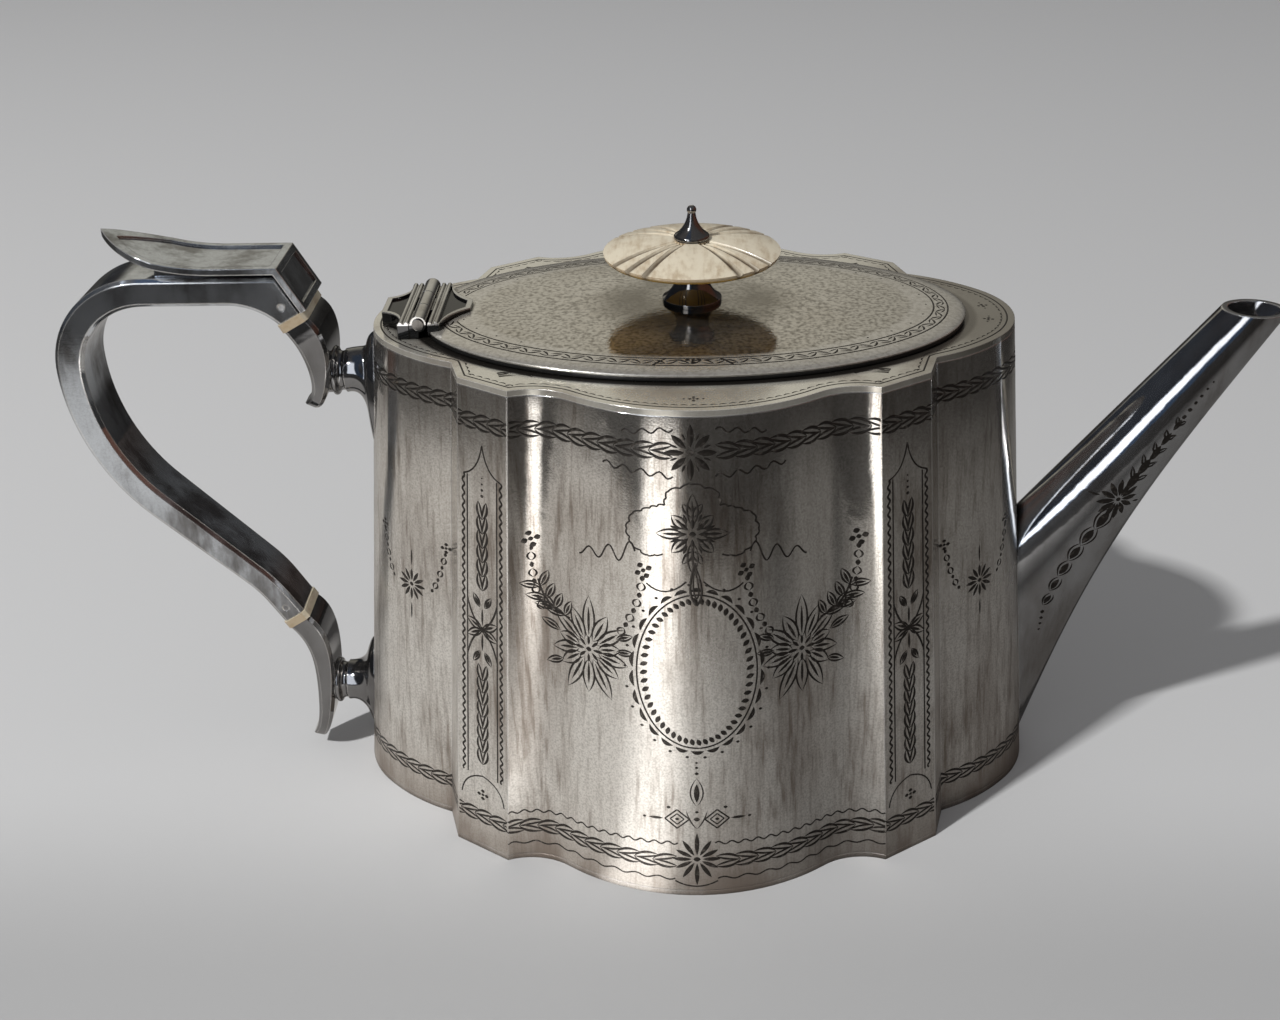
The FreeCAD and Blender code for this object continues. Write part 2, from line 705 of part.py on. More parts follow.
def socket(joint, heading, thickness, width, mount_z, tail_drop, tail_lean):
    """Cast socket: it carries the bar on, curls into a tail and has a round stub to the body."""
    foot = V(-end_x(mount_z) - socket_setback, 0, mount_z)
    start = joint + heading * (insulator_thickness / 2)
    tail = V(-tail_lean, 0, -stub_radius - tail_drop)
    tail_heading = V(tail).normalize()
    sections = [
        chamfered_section(start, heading, thickness, width, bar_chamfer),
        chamfered_section(start + heading * bar_end_straight, heading, thickness, width, bar_chamfer),
        chamfered_section(foot, heading_at(-90), socket_foot_thickness,
                          (width + 2 * stub_radius) / 2, bar_chamfer),
        chamfered_section(foot + tail / 2 + V(tail_lean / 4, 0, 0), tail_heading,
                          tail_swell_thickness, tail_swell_width, bar_chamfer),
        chamfered_section(foot + tail, tail_heading, socket_tail_thickness, socket_tail_width, bar_chamfer / 2),
    ]
    arm = Part.makeLoft(sections, True, False)
    wall_x = -end_x(mount_z) - escutcheon_flare
    length = wall_x - foot.x
    bead = socket_foot_thickness / 2
    stub = turned([
        (0, 0),
        (stub_radius, 0),
        (stub_radius, bead),
        ((stub_bead_radius, bead + stub_bead_width / 2), (stub_radius, bead + stub_bead_width)),
        ((stub_waist_radius, (bead + stub_bead_width + length) / 2), (stub_radius, length)),
        (0, length),
    ]).rotated(V(0, 0, 0), V(0, 1, 0), 90).translated(foot)
    solid = arm.fuse(stub)
    return solid.cut([tenon_block(joint, heading, insulator_thickness / 2 + tenon_depth + tenon_clearance,
                                  tenon_clearance)])


def escutcheon(mount_z, above, below):
    """Drop-shaped boss that spreads the stub onto the end of the body."""
    face_x = -end_x(mount_z) - escutcheon_flare
    drop_z = mount_z + (above - below) / 2
    half = (above + below) / 2
    shoulder_z = (mount_z + 2 * drop_z) / 3
    stations = [
        (0.0, stub_radius, stub_radius, mount_z),
        (neck_share, stub_radius * neck_growth, stub_radius * neck_growth, mount_z),
        (shoulder_share, half * shoulder_tall, escutcheon_half_width * shoulder_wide, shoulder_z),
        (1.0, half, escutcheon_half_width, drop_z),
        (root_share, half * root_growth, escutcheon_half_width * root_growth, drop_z),
    ]
    wires = []
    for share, tall, wide, z in stations:
        level = ellipse_wire(tall, wide, 0)
        level.rotate(V(0, 0, 0), V(0, 1, 0), 90)
        level.translate(V(face_x + share * escutcheon_flare, 0, z))
        wires.append(level)
    return largest(Part.makeLoft(wires, True, False).cut(body_solid(0, top_z, 0)))


def thumb_outline(corner, tip, inset):
    """Upright block on the plan of the thumb plate, drawn in by inset: straight sides, rounded point."""
    side, shoulder = thumb_width / 2 - inset, thumb_shoulder_width / 2 - inset
    far = corner.x + thumb_width
    straight = corner.x - thumb_straight
    point = tip.x + 2 * inset
    bulge = (straight + point) / 2
    low = corner.z - 2 * thumb_width
    right, left = V(straight, side, low), V(straight, -side, low)
    plan = Part.Wire([
        Part.LineSegment(V(far, -side, low), V(far, side, low)).toShape(),
        Part.LineSegment(V(far, side, low), right).toShape(),
        Part.Arc(right, V(bulge, shoulder, low), V(point, 0, low)).toShape(),
        Part.Arc(V(point, 0, low), V(bulge, -shoulder, low), left).toShape(),
        Part.LineSegment(left, V(far, -side, low)).toShape(),
    ])
    return Part.Face(plan).extrude(V(0, 0, 4 * thumb_width))


def thumb_piece(upper, bar):
    """Thumb plate over the top of the bar: a flat, a rising point and a sloped end, both panelled."""
    half = bar_thickness / 2
    slope = heading_at(upper_joint_angle)
    outward = V(-slope.z, 0, slope.x)
    bar_top = upper.z + bar_top_rise + half
    rise_radius = (thumb_tip_reach ** 2 + thumb_tip_lift ** 2) / (2 * thumb_tip_lift)
    sweep = math.asin(thumb_tip_reach / rise_radius)
    outer_end = upper + outward * (half + thumb_plate)
    flat_x = outer_end.x + slope.x * (bar_top + thumb_rise - outer_end.z) / slope.z - thumb_length

    def profile(depth):
        """Stations at a depth below the top: sloped end, corner, end of the flat, arc middle, tip."""
        end = upper + outward * (half + thumb_plate - depth)
        top = bar_top + thumb_rise - depth
        corner = end + slope * ((top - end.z) / slope.z)
        centre = V(flat_x, 0, bar_top + thumb_rise + rise_radius)
        radius = rise_radius + depth
        arc = [centre + V(-math.sin(a) * radius, 0, -math.cos(a) * radius) for a in (0, sweep / 2, sweep)]
        return [end, corner] + arc

    def strip(shallow, deep):
        """Solid between two depths under the top, across the full width."""
        over, under = profile(shallow), profile(deep)
        edges = [
            Part.LineSegment(over[0], over[1]).toShape(),
            Part.LineSegment(over[1], over[2]).toShape(),
            Part.Arc(over[2], over[3], over[4]).toShape(),
            Part.LineSegment(over[4], under[4]).toShape(),
            Part.Arc(under[4], under[3], under[2]).toShape(),
            Part.LineSegment(under[2], under[1]).toShape(),
            Part.LineSegment(under[1], under[0]).toShape(),
            Part.LineSegment(under[0], over[0]).toShape(),
        ]
        solid = Part.Face(Part.Wire(edges)).extrude(V(0, thumb_width, 0))
        return solid.translated(V(0, -thumb_width / 2, 0))

    top_run, under_run = profile(0), profile(thumb_plate)
    corner, tip = top_run[1], top_run[4]
    plate = strip(0, thumb_plate).common(thumb_outline(corner, tip, 0))
    neck_angle = math.asin((thumb_neck_length - thumb_length) / rise_radius)
    neck_top = V(top_run[2].x, 0, top_run[2].z + rise_radius)
    neck_top += V(-math.sin(neck_angle), 0, -math.cos(neck_angle)) * (rise_radius + thumb_plate)
    neck = Part.Face(Part.makePolygon([upper, under_run[0], under_run[1], under_run[2], neck_top,
                                       V(neck_top.x, 0, bar_top - half), upper]))
    neck = neck.extrude(V(0, thumb_neck_width, 0)).translated(V(0, -thumb_neck_width / 2, 0))

    skin = strip(-thumb_panel_depth, thumb_panel_depth)
    border = V(thumb_panel_border, 0, 0)
    room = 4 * thumb_width
    flat_side = Part.makeBox(room, room, room, corner - border - V(room, room / 2, room / 2))
    flat_panel = skin.common(thumb_outline(corner, tip, thumb_panel_border)).common(flat_side)
    panel_width = thumb_width - 2 * thumb_panel_border
    slope_top = corner + slope * thumb_panel_border
    slope_end = top_run[0] - slope * thumb_panel_border
    lift = outward * thumb_panel_depth
    slope_panel = Part.Face(Part.makePolygon([
        slope_top - lift, slope_end - lift, slope_end + lift, slope_top + lift, slope_top - lift]))
    slope_panel = slope_panel.extrude(V(0, panel_width, 0)).translated(V(0, -panel_width / 2, 0))
    return largest(plate.fuse(neck).cut([bar, flat_panel, slope_panel])).removeSplitter()


def build_handle():
    """Bar, thumb piece, sockets, insulators and rivets of the handle."""
    joints = {}
    for name, mount_z, reach, rise, angle in (
            ("upper", upper_mount_z, upper_joint_reach, upper_joint_rise, upper_joint_angle),
            ("lower", lower_mount_height, lower_joint_reach, lower_joint_rise, lower_joint_angle)):
        joints[name] = (V(-end_x(mount_z) - reach, 0, mount_z + rise), heading_at(angle))
    sections = {"upper": (bar_thickness, bar_width), "lower": (bar_thickness_below, bar_width_below)}
    tails = {"upper": (upper_mount_z, upper_tail_drop, upper_tail_lean),
             "lower": (lower_mount_height, lower_tail_drop, lower_tail_lean)}
    half = insulator_thickness / 2
    upper_end, lower_end = (joint - heading * half for joint, heading in joints.values())
    bar = handle_bar(upper_end, lower_end)
    nodes = {"thumb_piece": thumb_piece(upper_end, bar)}
    mortise_reach = half + tenon_depth + tenon_clearance
    for name, (joint, heading) in joints.items():
        pins = insulator_pins(joint, heading, sections[name][1])
        bar = bar.cut([tenon_block(joint, heading, mortise_reach, tenon_clearance)] + pins)
        nodes[name + "_socket"] = socket(joint, heading, *sections[name], *tails[name]).cut(pins)
        nodes[name + "_insulator"] = insulator(joint, heading, *sections[name]).cut(pins)
        nodes[name + "_insulator_pins"] = Part.makeCompound(pins)
    nodes["handle_loop"] = bar
    nodes["upper_escutcheon"] = escutcheon(upper_mount_z, upper_drop_above, upper_drop_below)
    nodes["lower_escutcheon"] = escutcheon(lower_mount_height, lower_drop_above, lower_drop_below)
    return nodes


def main():
    """Build every piece and write one STEP file per node."""
    nodes = build_body()
    nodes.update(build_spout())
    nodes.update(build_lid())
    nodes.update(build_hinge(nodes["lid_cover"]))
    nodes.update(build_finial(nodes["lid_cover"]))
    nodes.update(build_handle())
    os.makedirs("parts", exist_ok=True)
    for name, shape in nodes.items():
        shape.exportStep("parts/%s.step" % name)
        box = shape.optimalBoundingBox(False)
        print("%-22s solids %d valid %s volume %9.1f  x %.1f..%.1f y %.1f..%.1f z %.1f..%.1f" % (
            name, len(shape.Solids), shape.isValid(), shape.Volume,
            box.XMin, box.XMax, box.YMin, box.YMax, box.ZMin, box.ZMax))


main()
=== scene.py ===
"""Looks of a shaped oval silver teapot: aged silver, bright-cut engraving, ivory and studio light.

Ornament is laid out in flat millimetres. Meshes and finishes are in metres.
The spout points along +X, the front is -Y and +Z is up.
"""
from __future__ import annotations

import json
import logging
import math
from dataclasses import dataclass, field
from enum import Enum
from typing import Callable, Iterable, Sequence

import bpy
from mathutils import Matrix, Vector
from mathutils.bvhtree import BVHTree

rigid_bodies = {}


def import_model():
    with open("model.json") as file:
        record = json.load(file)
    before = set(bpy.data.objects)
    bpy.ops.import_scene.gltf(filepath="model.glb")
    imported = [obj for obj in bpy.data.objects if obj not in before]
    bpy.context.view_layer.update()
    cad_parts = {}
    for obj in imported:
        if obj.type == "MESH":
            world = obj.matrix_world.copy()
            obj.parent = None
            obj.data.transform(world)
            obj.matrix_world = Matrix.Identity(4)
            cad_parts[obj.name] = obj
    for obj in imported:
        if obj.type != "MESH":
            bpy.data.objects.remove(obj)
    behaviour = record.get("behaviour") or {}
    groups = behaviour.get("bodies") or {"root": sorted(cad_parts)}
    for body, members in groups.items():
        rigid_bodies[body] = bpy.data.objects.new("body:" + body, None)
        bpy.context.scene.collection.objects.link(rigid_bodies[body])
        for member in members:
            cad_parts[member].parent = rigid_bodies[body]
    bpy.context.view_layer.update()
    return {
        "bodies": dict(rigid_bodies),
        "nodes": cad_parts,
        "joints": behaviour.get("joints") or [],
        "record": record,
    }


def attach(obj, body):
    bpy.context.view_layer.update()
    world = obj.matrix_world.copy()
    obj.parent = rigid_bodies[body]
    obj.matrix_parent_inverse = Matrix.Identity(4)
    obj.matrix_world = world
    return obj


LOG = logging.getLogger("teapot")
MM = 0.001
LID_HALF_LENGTH = 57.9
LID_HALF_WIDTH = 36.9
NODES: dict[str, bpy.types.Object] = {}

Triple = tuple[float, float, float]
Colour = Triple
Flat = tuple[float, float]
Place = Callable[[float, float], Vector]
Look = tuple["Value", "Value", "Value"]


class Body(Enum):
    """Rigid bodies of the frame."""

    POT = "pot"
    LID = "lid"


class Slot(Enum):
    """Material slots of the record."""

    SILVER = "silver"
    POLISHED = "polished_silver"


class Stroke(Enum):
    """How the width of an engraved cut runs along it."""

    EVEN = "even"
    LENS = "lens"


class Axis(Enum):
    """Axes of a direction."""

    X = 0
    Y = 1
    Z = 2


class Value:
    """A socket that can be used in Python expressions, which add Math nodes."""

    def __init__(self, graph: "Graph", socket: bpy.types.NodeSocket) -> None:
        """Wrap one output socket.

        Args:
            graph: graph that owns the socket.
            socket: output to wrap.
        """
        self.graph = graph
        self.socket = socket

    def _math(self, operation: str, first: "Value | float", second: "Value | float") -> "Value":
        """Add one Math node.

        Args:
            operation: name of the operation.
            first: left operand.
            second: right operand.

        Returns:
            The result.
        """
        return self.graph.node("ShaderNodeMath", {"operation": operation}, {0: first, 1: second})

    def __add__(self, other: "Value | float") -> "Value":
        """Sum."""
        return self._math("ADD", self, other)

    def __radd__(self, other: float) -> "Value":
        """Sum with a number on the left."""
        return self._math("ADD", other, self)

    def __sub__(self, other: "Value | float") -> "Value":
        """Difference."""
        return self._math("SUBTRACT", self, other)

    def __rsub__(self, other: float) -> "Value":
        """Difference from a number on the left."""
        return self._math("SUBTRACT", other, self)

    def __mul__(self, other: "Value | float") -> "Value":
        """Product."""
        return self._math("MULTIPLY", self, other)

    def __rmul__(self, other: float) -> "Value":
        """Product with a number on the left."""
        return self._math("MULTIPLY", other, self)

    def clamped(self, low: float, high: float) -> "Value":
        """Limit to a range, and stretch that range to 0 to 1.

        Args:
            low: value that becomes 0.
            high: value that becomes 1.

        Returns:
            The stretched value.
        """
        return self.graph.node("ShaderNodeMapRange", {"interpolation_type": "SMOOTHSTEP"},
                               {"Value": self, "From Min": low, "From Max": high})


class Graph:
    """Node tree of a material or a world."""

    def __init__(self, tree: bpy.types.NodeTree) -> None:
        """Start from an empty tree.

        Args:
            tree: tree to fill.
        """
        self.tree = tree
        tree.nodes.clear()

    def node(self, kind: str, settings: dict | None = None, inputs: dict | None = None,
             output: int | str = 0) -> Value | None:
        """Add one node, set it up and link it.

        Args:
            kind: node type.
            settings: attributes, and "stops" for a ramp's (position, colour) pairs.
            inputs: socket name or index to a number, colour, vector or Value.
            output: output that the returned Value wraps.

        Returns:
            The chosen output, or None for a node that has none.
        """
        made = self.tree.nodes.new(kind)
        for key, value in (settings or {}).items():
            if key == "stops":
                ramp = made.color_ramp
                while len(ramp.elements) < len(value):
                    ramp.elements.new(0.5)
                for element, (position, colour) in zip(ramp.elements, value):
                    element.position = position
                    element.color = (*colour, 1.0)
            else:
                setattr(made, key, value)
        for key, value in (inputs or {}).items():
            if isinstance(value, Value):
                self.tree.links.new(value.socket, made.inputs[key])
            else:
                made.inputs[key].default_value = value
        return Value(self, made.outputs[output]) if len(made.outputs) else None

    def noise(self, where: Value, scale: float, detail: float = 3.0, rough: float = 0.55) -> Value:
        """Noise from 0 to 1.

        Args:
            where: coordinates.
            scale: features per metre.
            detail: octaves.
            rough: strength of the fine octaves.

        Returns:
            The noise factor.
        """
        return self.node("ShaderNodeTexNoise", {}, {"Vector": where, "Scale": scale, "Detail": detail,
                                                    "Roughness": rough})

    def stretched(self, where: Value, factors: Triple) -> Value:
        """Coordinates scaled along each axis.

        Args:
            where: coordinates.
            factors: scale along X, Y and Z.

        Returns:
            The scaled coordinates.
        """
        return self.node("ShaderNodeVectorMath", {"operation": "MULTIPLY"}, {0: where, 1: factors})

    def mixed(self, share: Value | float, first: Value | Colour, second: Value | Colour) -> Value:
        """Mix of two colours.

        Args:
            share: 0 gives the first, 1 the second.
            first: colour or colour output.
            second: colour or colour output.

        Returns:
            The mixed colour.
        """
        ends = [(*c, 1.0) if isinstance(c, tuple) else c for c in (first, second)]
        return self.node("ShaderNodeMix", {"data_type": "RGBA"}, {0: share, 6: ends[0], 7: ends[1]}, 2)

    def where(self) -> Value:
        """Coordinates in the frame of the object, in metres."""
        return self.node("ShaderNodeTexCoord", output="Object")

    def parts(self, vector: Value) -> list[Value]:
        """X, Y and Z of a vector."""
        return [self.node("ShaderNodeSeparateXYZ", {}, {0: vector}, axis) for axis in range(3)]

    def surface(self, inputs: dict) -> None:
        """End a material's tree in one Principled shader with these inputs."""
        shader = self.node("ShaderNodeBsdfPrincipled", {}, inputs)
        self.node("ShaderNodeOutputMaterial", {}, {"Surface": shader})


def new_material(name: str) -> tuple[bpy.types.Material, Graph]:
    """Make an empty node material.

    Args:
        name: name of the material.

    Returns:
        The material and its graph.
    """
    material = bpy.data.materials.new(name)
    material.use_nodes = True
    return material, Graph(material.node_tree)


@dataclass(frozen=True)
class SilverFinish:
    """Silver with tarnish clouds, upright polishing streaks, fine scratches, and edges lightened partly by
    wear and partly by a painted highlight.

    Lengths are in metres and scales in features per metre. A window holds the value that counts as
    nothing and the one that counts as all. The zones at the foot, in an oval, round the hub, towards
    the spout and below a set height show only where they are set. On the top plate the oval is a
    painted shadow round the lid, the hub zone is a painted shadow, below the set height is painted
    shade, and crevices get painted shade too.
    """

    name: str
    light: Colour = (0.80, 0.77, 0.72)
    tarnish: Colour = (0.36, 0.30, 0.25)
    bright: Colour = (0.95, 0.93, 0.90)
    speck: Colour = (0.20, 0.18, 0.15)
    polish: float = 0.15
    dulling: float = 0.13
    stain_dulling: float = 0.7
    streak_dulling: float = 0.5
    matt_share: float = 0.05
    cloud_scale: float = 38.0
    cloud_stretch: Triple = (1.0, 1.0, 0.5)
    cloud_window: Flat = (0.36, 0.70)
    tarnish_share: float = 0.8
    rub_scale: Triple = (480.0, 480.0, 22.0)
    rub_window: Flat = (0.44, 0.74)
    brush_scale: Triple = (1100.0, 1100.0, 75.0)
    brush_window: Flat = (0.46, 0.72)
    streak_share: float = 0.6
    streaks: float = 0.5
    age_window: Flat = (0.0, 1.3)
    scratch_scale: Triple = (90.0, 2600.0, 1500.0)
    scratches: float = 0.25
    grain: float = 0.15
    grain_scale: float = 2400.0
    grain_window: Flat = (0.35, 0.75)
    hammer: float = 0.10
    hammer_depth: float = 0.00012
    edge: float = 0.0005
    edge_window: Flat = (0.995, 0.94)
    edge_wear_and_highlight_share: float = 0.6
    edge_matt: float = 0.2
    painted_crevice_shade: Colour = (0.03, 0.027, 0.024)
    crevice_reach: float = 0.0025
    crevice_window: Flat = (0.80, 0.40)
    crevice_share: float = 0.9
    foot: Flat = (0.085, 0.035)
    foot_rough: float = 0.0
    foot_matt: float = 0.0
    foot_stain: float = 0.0
    foot_window: Flat = (-0.8, 0.8)
    oval: Flat | None = None
    oval_shares: Flat = (0.0, 1.0)
    oval_tint: Colour = (0.64, 0.605, 0.53)
    oval_share: float = 1.0
    oval_dulling: float = 0.0
    hub: Flat | None = None
    hub_shadow_window: Flat = (0.2, 0.7)
    spout_darkening: Flat | None = None
    spout_share: float = 0.85
    seam_height: float = 0.0
    seam_fade: float = 0.0001
    shade_and_tarnish_below: Colour = (0.05, 0.05, 0.05)

    def material(self) -> bpy.types.Material:
        """Build the material.

        Returns:
            The material.
        """
        material, g = new_material(self.name)
        where = g.where()
        clouds = g.noise(g.stretched(where, self.cloud_stretch), self.cloud_scale, 4.0, 0.6)
        rubbed = g.noise(g.stretched(where, self.rub_scale), 1.0, 4.0, 0.65)
        brushed = g.noise(g.stretched(where, self.brush_scale), 1.0, 3.0, 0.6)
        scratched = g.noise(g.stretched(where, self.scratch_scale), 1.0, 2.0, 0.5)
        speckle = g.noise(where, self.grain_scale, 2.0, 0.5)
        stain = clouds.clamped(*self.cloud_window)
        streak = (rubbed.clamped(*self.rub_window) * self.streak_share
                  + brushed.clamped(*self.brush_window) * self.streak_share)
        age = stain * self.tarnish_share + streak * self.streaks
        tint = g.mixed(age.clamped(*self.age_window), self.light, self.tarnish)
        tint = g.mixed(speckle.clamped(*self.grain_window) * self.grain, tint, self.speck)
        rounded = g.node("ShaderNodeBevel", {"samples": 4}, {"Radius": self.edge})
        worn = self._wear_and_painted_highlight(g, rounded)
        # Edges lightened towards the bright colour and made more matt: partly wear, partly a painted
        # highlight.
        tint = g.mixed(worn * self.edge_wear_and_highlight_share, tint, self.bright)
        matt = self.matt_share + worn * self.edge_matt
        rough = self.polish + self.dulling * (stain * self.stain_dulling + streak * self.streak_dulling)
        tint, matt, rough = self._zones(g, where, clouds, (tint, matt, rough))
        # Painted shade: ambient occlusion darkens concave corners and creases towards a near-black colour.
        clear = g.node("ShaderNodeAmbientOcclusion", {"samples": 4},
                       {"Distance": self.crevice_reach}, "AO")
        tint = g.mixed(clear.clamped(*self.crevice_window) * self.crevice_share, tint, self.painted_crevice_shade)
        height = rubbed * self.streaks + scratched * self.scratches + speckle * self.grain
        bump = g.node("ShaderNodeBump", {}, {
            "Strength": self.hammer, "Distance": self.hammer_depth, "Height": height, "Normal": rounded})
        g.surface({"Base Color": tint, "Metallic": 1.0 - matt, "Roughness": rough, "Normal": bump})
        return material

    def _wear_and_painted_highlight(self, g: Graph, rounded: Value) -> Value:
        """Share of wear and of painted edge highlight, from how far the rounded normal turns away from the
        flat one.

        Args:
            g: graph of the material.
            rounded: normal with its edges rounded.

        Returns:
            The share.
        """
        flat = g.node("ShaderNodeNewGeometry", output="Normal")
        along = g.node("ShaderNodeVectorMath", {"operation": "DOT_PRODUCT"}, {0: rounded, 1: flat}, "Value")
        return along.clamped(*self.edge_window)

    def _zones(self, g: Graph, where: Value, clouds: Value, look: Look) -> Look:
        """Change the look at the foot, in the oval, round the hub, towards the spout and below a set
        height, with painted shadow and shade among them.

        Args:
            g: graph of the material.
            where: coordinates.
            clouds: noise that the tarnish follows.
            look: tint, matt share and roughness so far.

        Returns:
            The tint, matt share and roughness.
        """
        tint, matt, rough = look
        x, y, z = g.parts(where)
        foot = z.clamped(*self.foot)
        matt = matt + foot * self.foot_matt
        rough = rough + foot * self.foot_rough
        if self.foot_stain:
            stain = clouds.clamped(*self.cloud_window).clamped(*self.foot_window)
            tint = g.mixed(z.clamped(self.foot_stain, 0.0) * stain, tint, self.tarnish)
        # Oval zone: on the lid, the matt border's own tint; on the top plate, a dark ring just outside the
        # lid, a painted shadow of the lid's rim.
        if self.oval:
            across, deep = x * (1.0 / self.oval[0]), y * (1.0 / self.oval[1])
            zone = (across * across + deep * deep).clamped(*(share ** 2 for share in self.oval_shares))
            tint = g.mixed(zone * self.oval_share, tint, self.oval_tint)
            matt = matt + zone * self.oval_dulling
            rough = rough + zone * (self.oval_dulling / 2)
        # Painted shadow: darker clouds round the finial's stem, for the button's shadow on the lid.
        if self.hub:
            near = (x * x + y * y).clamped(*(reach ** 2 for reach in self.hub))
            tint = g.mixed(near * clouds.clamped(*self.hub_shadow_window), tint, self.speck)
        # Darker towards the spout.
        if self.spout_darkening:
            tint = g.mixed(x.clamped(*self.spout_darkening) * self.spout_share, tint, self.speck)
        # Darker below a set height. On the lid it is a painted shadow on the rim's side face; on the hinge
        # leaves it darkens the recessed panels, partly tarnish and partly painted shade.
        if self.seam_height:
            below = z.clamped(self.seam_height + self.seam_fade, self.seam_height)
            tint = g.mixed(below, tint, self.shade_and_tarnish_below)
        return tint, matt, rough


@dataclass(frozen=True)
class IvoryFinish:
    """Polished ivory, yellowed, with an amber underside that is partly age and partly painted shade, and
    brown staining in its grooves and at its rim.

    Lengths are in metres, scales in features per metre and angles in radians.
    """

    name: str
    pale: Colour = (0.74, 0.66, 0.51)
    stained: Colour = (0.36, 0.24, 0.12)
    amber: Colour = (0.36, 0.21, 0.03)
    groove: Colour = (0.06, 0.035, 0.015)
    line_scale: Triple = (900.0, 160.0, 900.0)
    cloud_scale: float = 210.0
    stain_window: Flat = (0.42, 0.72)
    stain_share: float = 0.7
    rim_window: Flat = (0.5, 0.0)
    rim_share: float = 0.6
    underside_shade_window: Flat = (-0.3, -0.7)
    groove_half: float = 0.075
    groove_step: float = math.radians(14.0)
    groove_reach: Flat = (0.028, 0.013)
    groove_share: float = 0.7
    groove_change: float = 0.5
    rough: float = 0.26
    rough_change: float = 0.16
    line_strength: float = 0.15
    line_depth: float = 0.0001
    coat: float = 0.25
    coat_rough: float = 0.12

    def material(self) -> bpy.types.Material:
        """Build the material.

        Returns:
            The material.
        """
        material, g = new_material(self.name)
        where = g.where()
        lines = g.noise(g.stretched(where, self.line_scale), 1.0, 4.0, 0.6)
        clouds = g.noise(where, self.cloud_scale, 4.0, 0.6)
        stain = (lines * 0.5 + clouds * 0.5).clamped(*self.stain_window) * self.stain_share
        tint = g.mixed(stain, self.pale, self.stained)
        upward = g.parts(g.node("ShaderNodeNewGeometry", output="Normal"))[2]
        tint = g.mixed(upward.clamped(*self.rim_window) * self.rim_share, tint, self.stained)
        # Down-facing surfaces turn amber: partly the ivory's own yellowing, partly painted shade under the
        # button.
        tint = g.mixed(upward.clamped(*self.underside_shade_window), tint, self.amber)
        depth = self._grooves(g, where) * (self.groove_share + self.groove_change * clouds)
        tint = g.mixed(depth, tint, self.groove)
        bump = g.node("ShaderNodeBump", {}, {
            "Strength": self.line_strength, "Distance": self.line_depth, "Height": lines})
        g.surface({"Base Color": tint, "Roughness": self.rough + self.rough_change * clouds, "Normal": bump,
                   "Coat Weight": self.coat, "Coat Roughness": self.coat_rough})
        return material

    def _grooves(self, g: Graph, where: Value) -> Value:
        """Share of staining by the angle round the button's axis, three grooves in each quarter.

        Args:
            g: graph of the material.
            where: coordinates, with the button's axis at X = Y = 0.

        Returns:
            The share.
        """
        x, y, _ = g.parts(where)
        angle = g.node("ShaderNodeMath", {"operation": "ARCTAN2"}, {0: y, 1: x})
        turned = angle + 2 * math.pi
        quarter = g.node("ShaderNodeMath", {"operation": "MODULO"}, {0: turned, 1: math.pi / 2})
        off = g.node("ShaderNodeMath", {"operation": "ABSOLUTE"}, {0: quarter - math.pi / 4})
        side = g.node("ShaderNodeMath", {"operation": "ABSOLUTE"}, {0: off - self.groove_step})
        near = off.clamped(self.groove_half, 0.0) + side.clamped(self.groove_half, 0.0)
        return near * (x * x + y * y).clamped(*(reach ** 2 for reach in self.groove_reach))


@dataclass(frozen=True)
class CutFinish:
    """Oxidised floor of an engraved cut, with a little bare silver left in it."""

    name: str
    dark: Colour = (0.035, 0.030, 0.026)
    bare: Colour = (0.14, 0.125, 0.11)
    wear_scale: float = 900.0
    wear_window: Flat = (0.52, 0.78)
    metal_share: float = 0.7
    rough: float = 0.32
    rough_change: float = 0.2

    def material(self) -> bpy.types.Material:
        """Build the material.

        Returns:
            The material.
        """
        material, g = new_material(self.name)
        worn = g.noise(g.where(), self.wear_scale, 3.0, 0.6).clamped(*self.wear_window)
        tint = g.mixed(worn, self.dark, self.bare)
        g.surface({"Base Color": tint, "Metallic": self.metal_share,
                   "Roughness": self.rough + self.rough_change * worn})
        return material


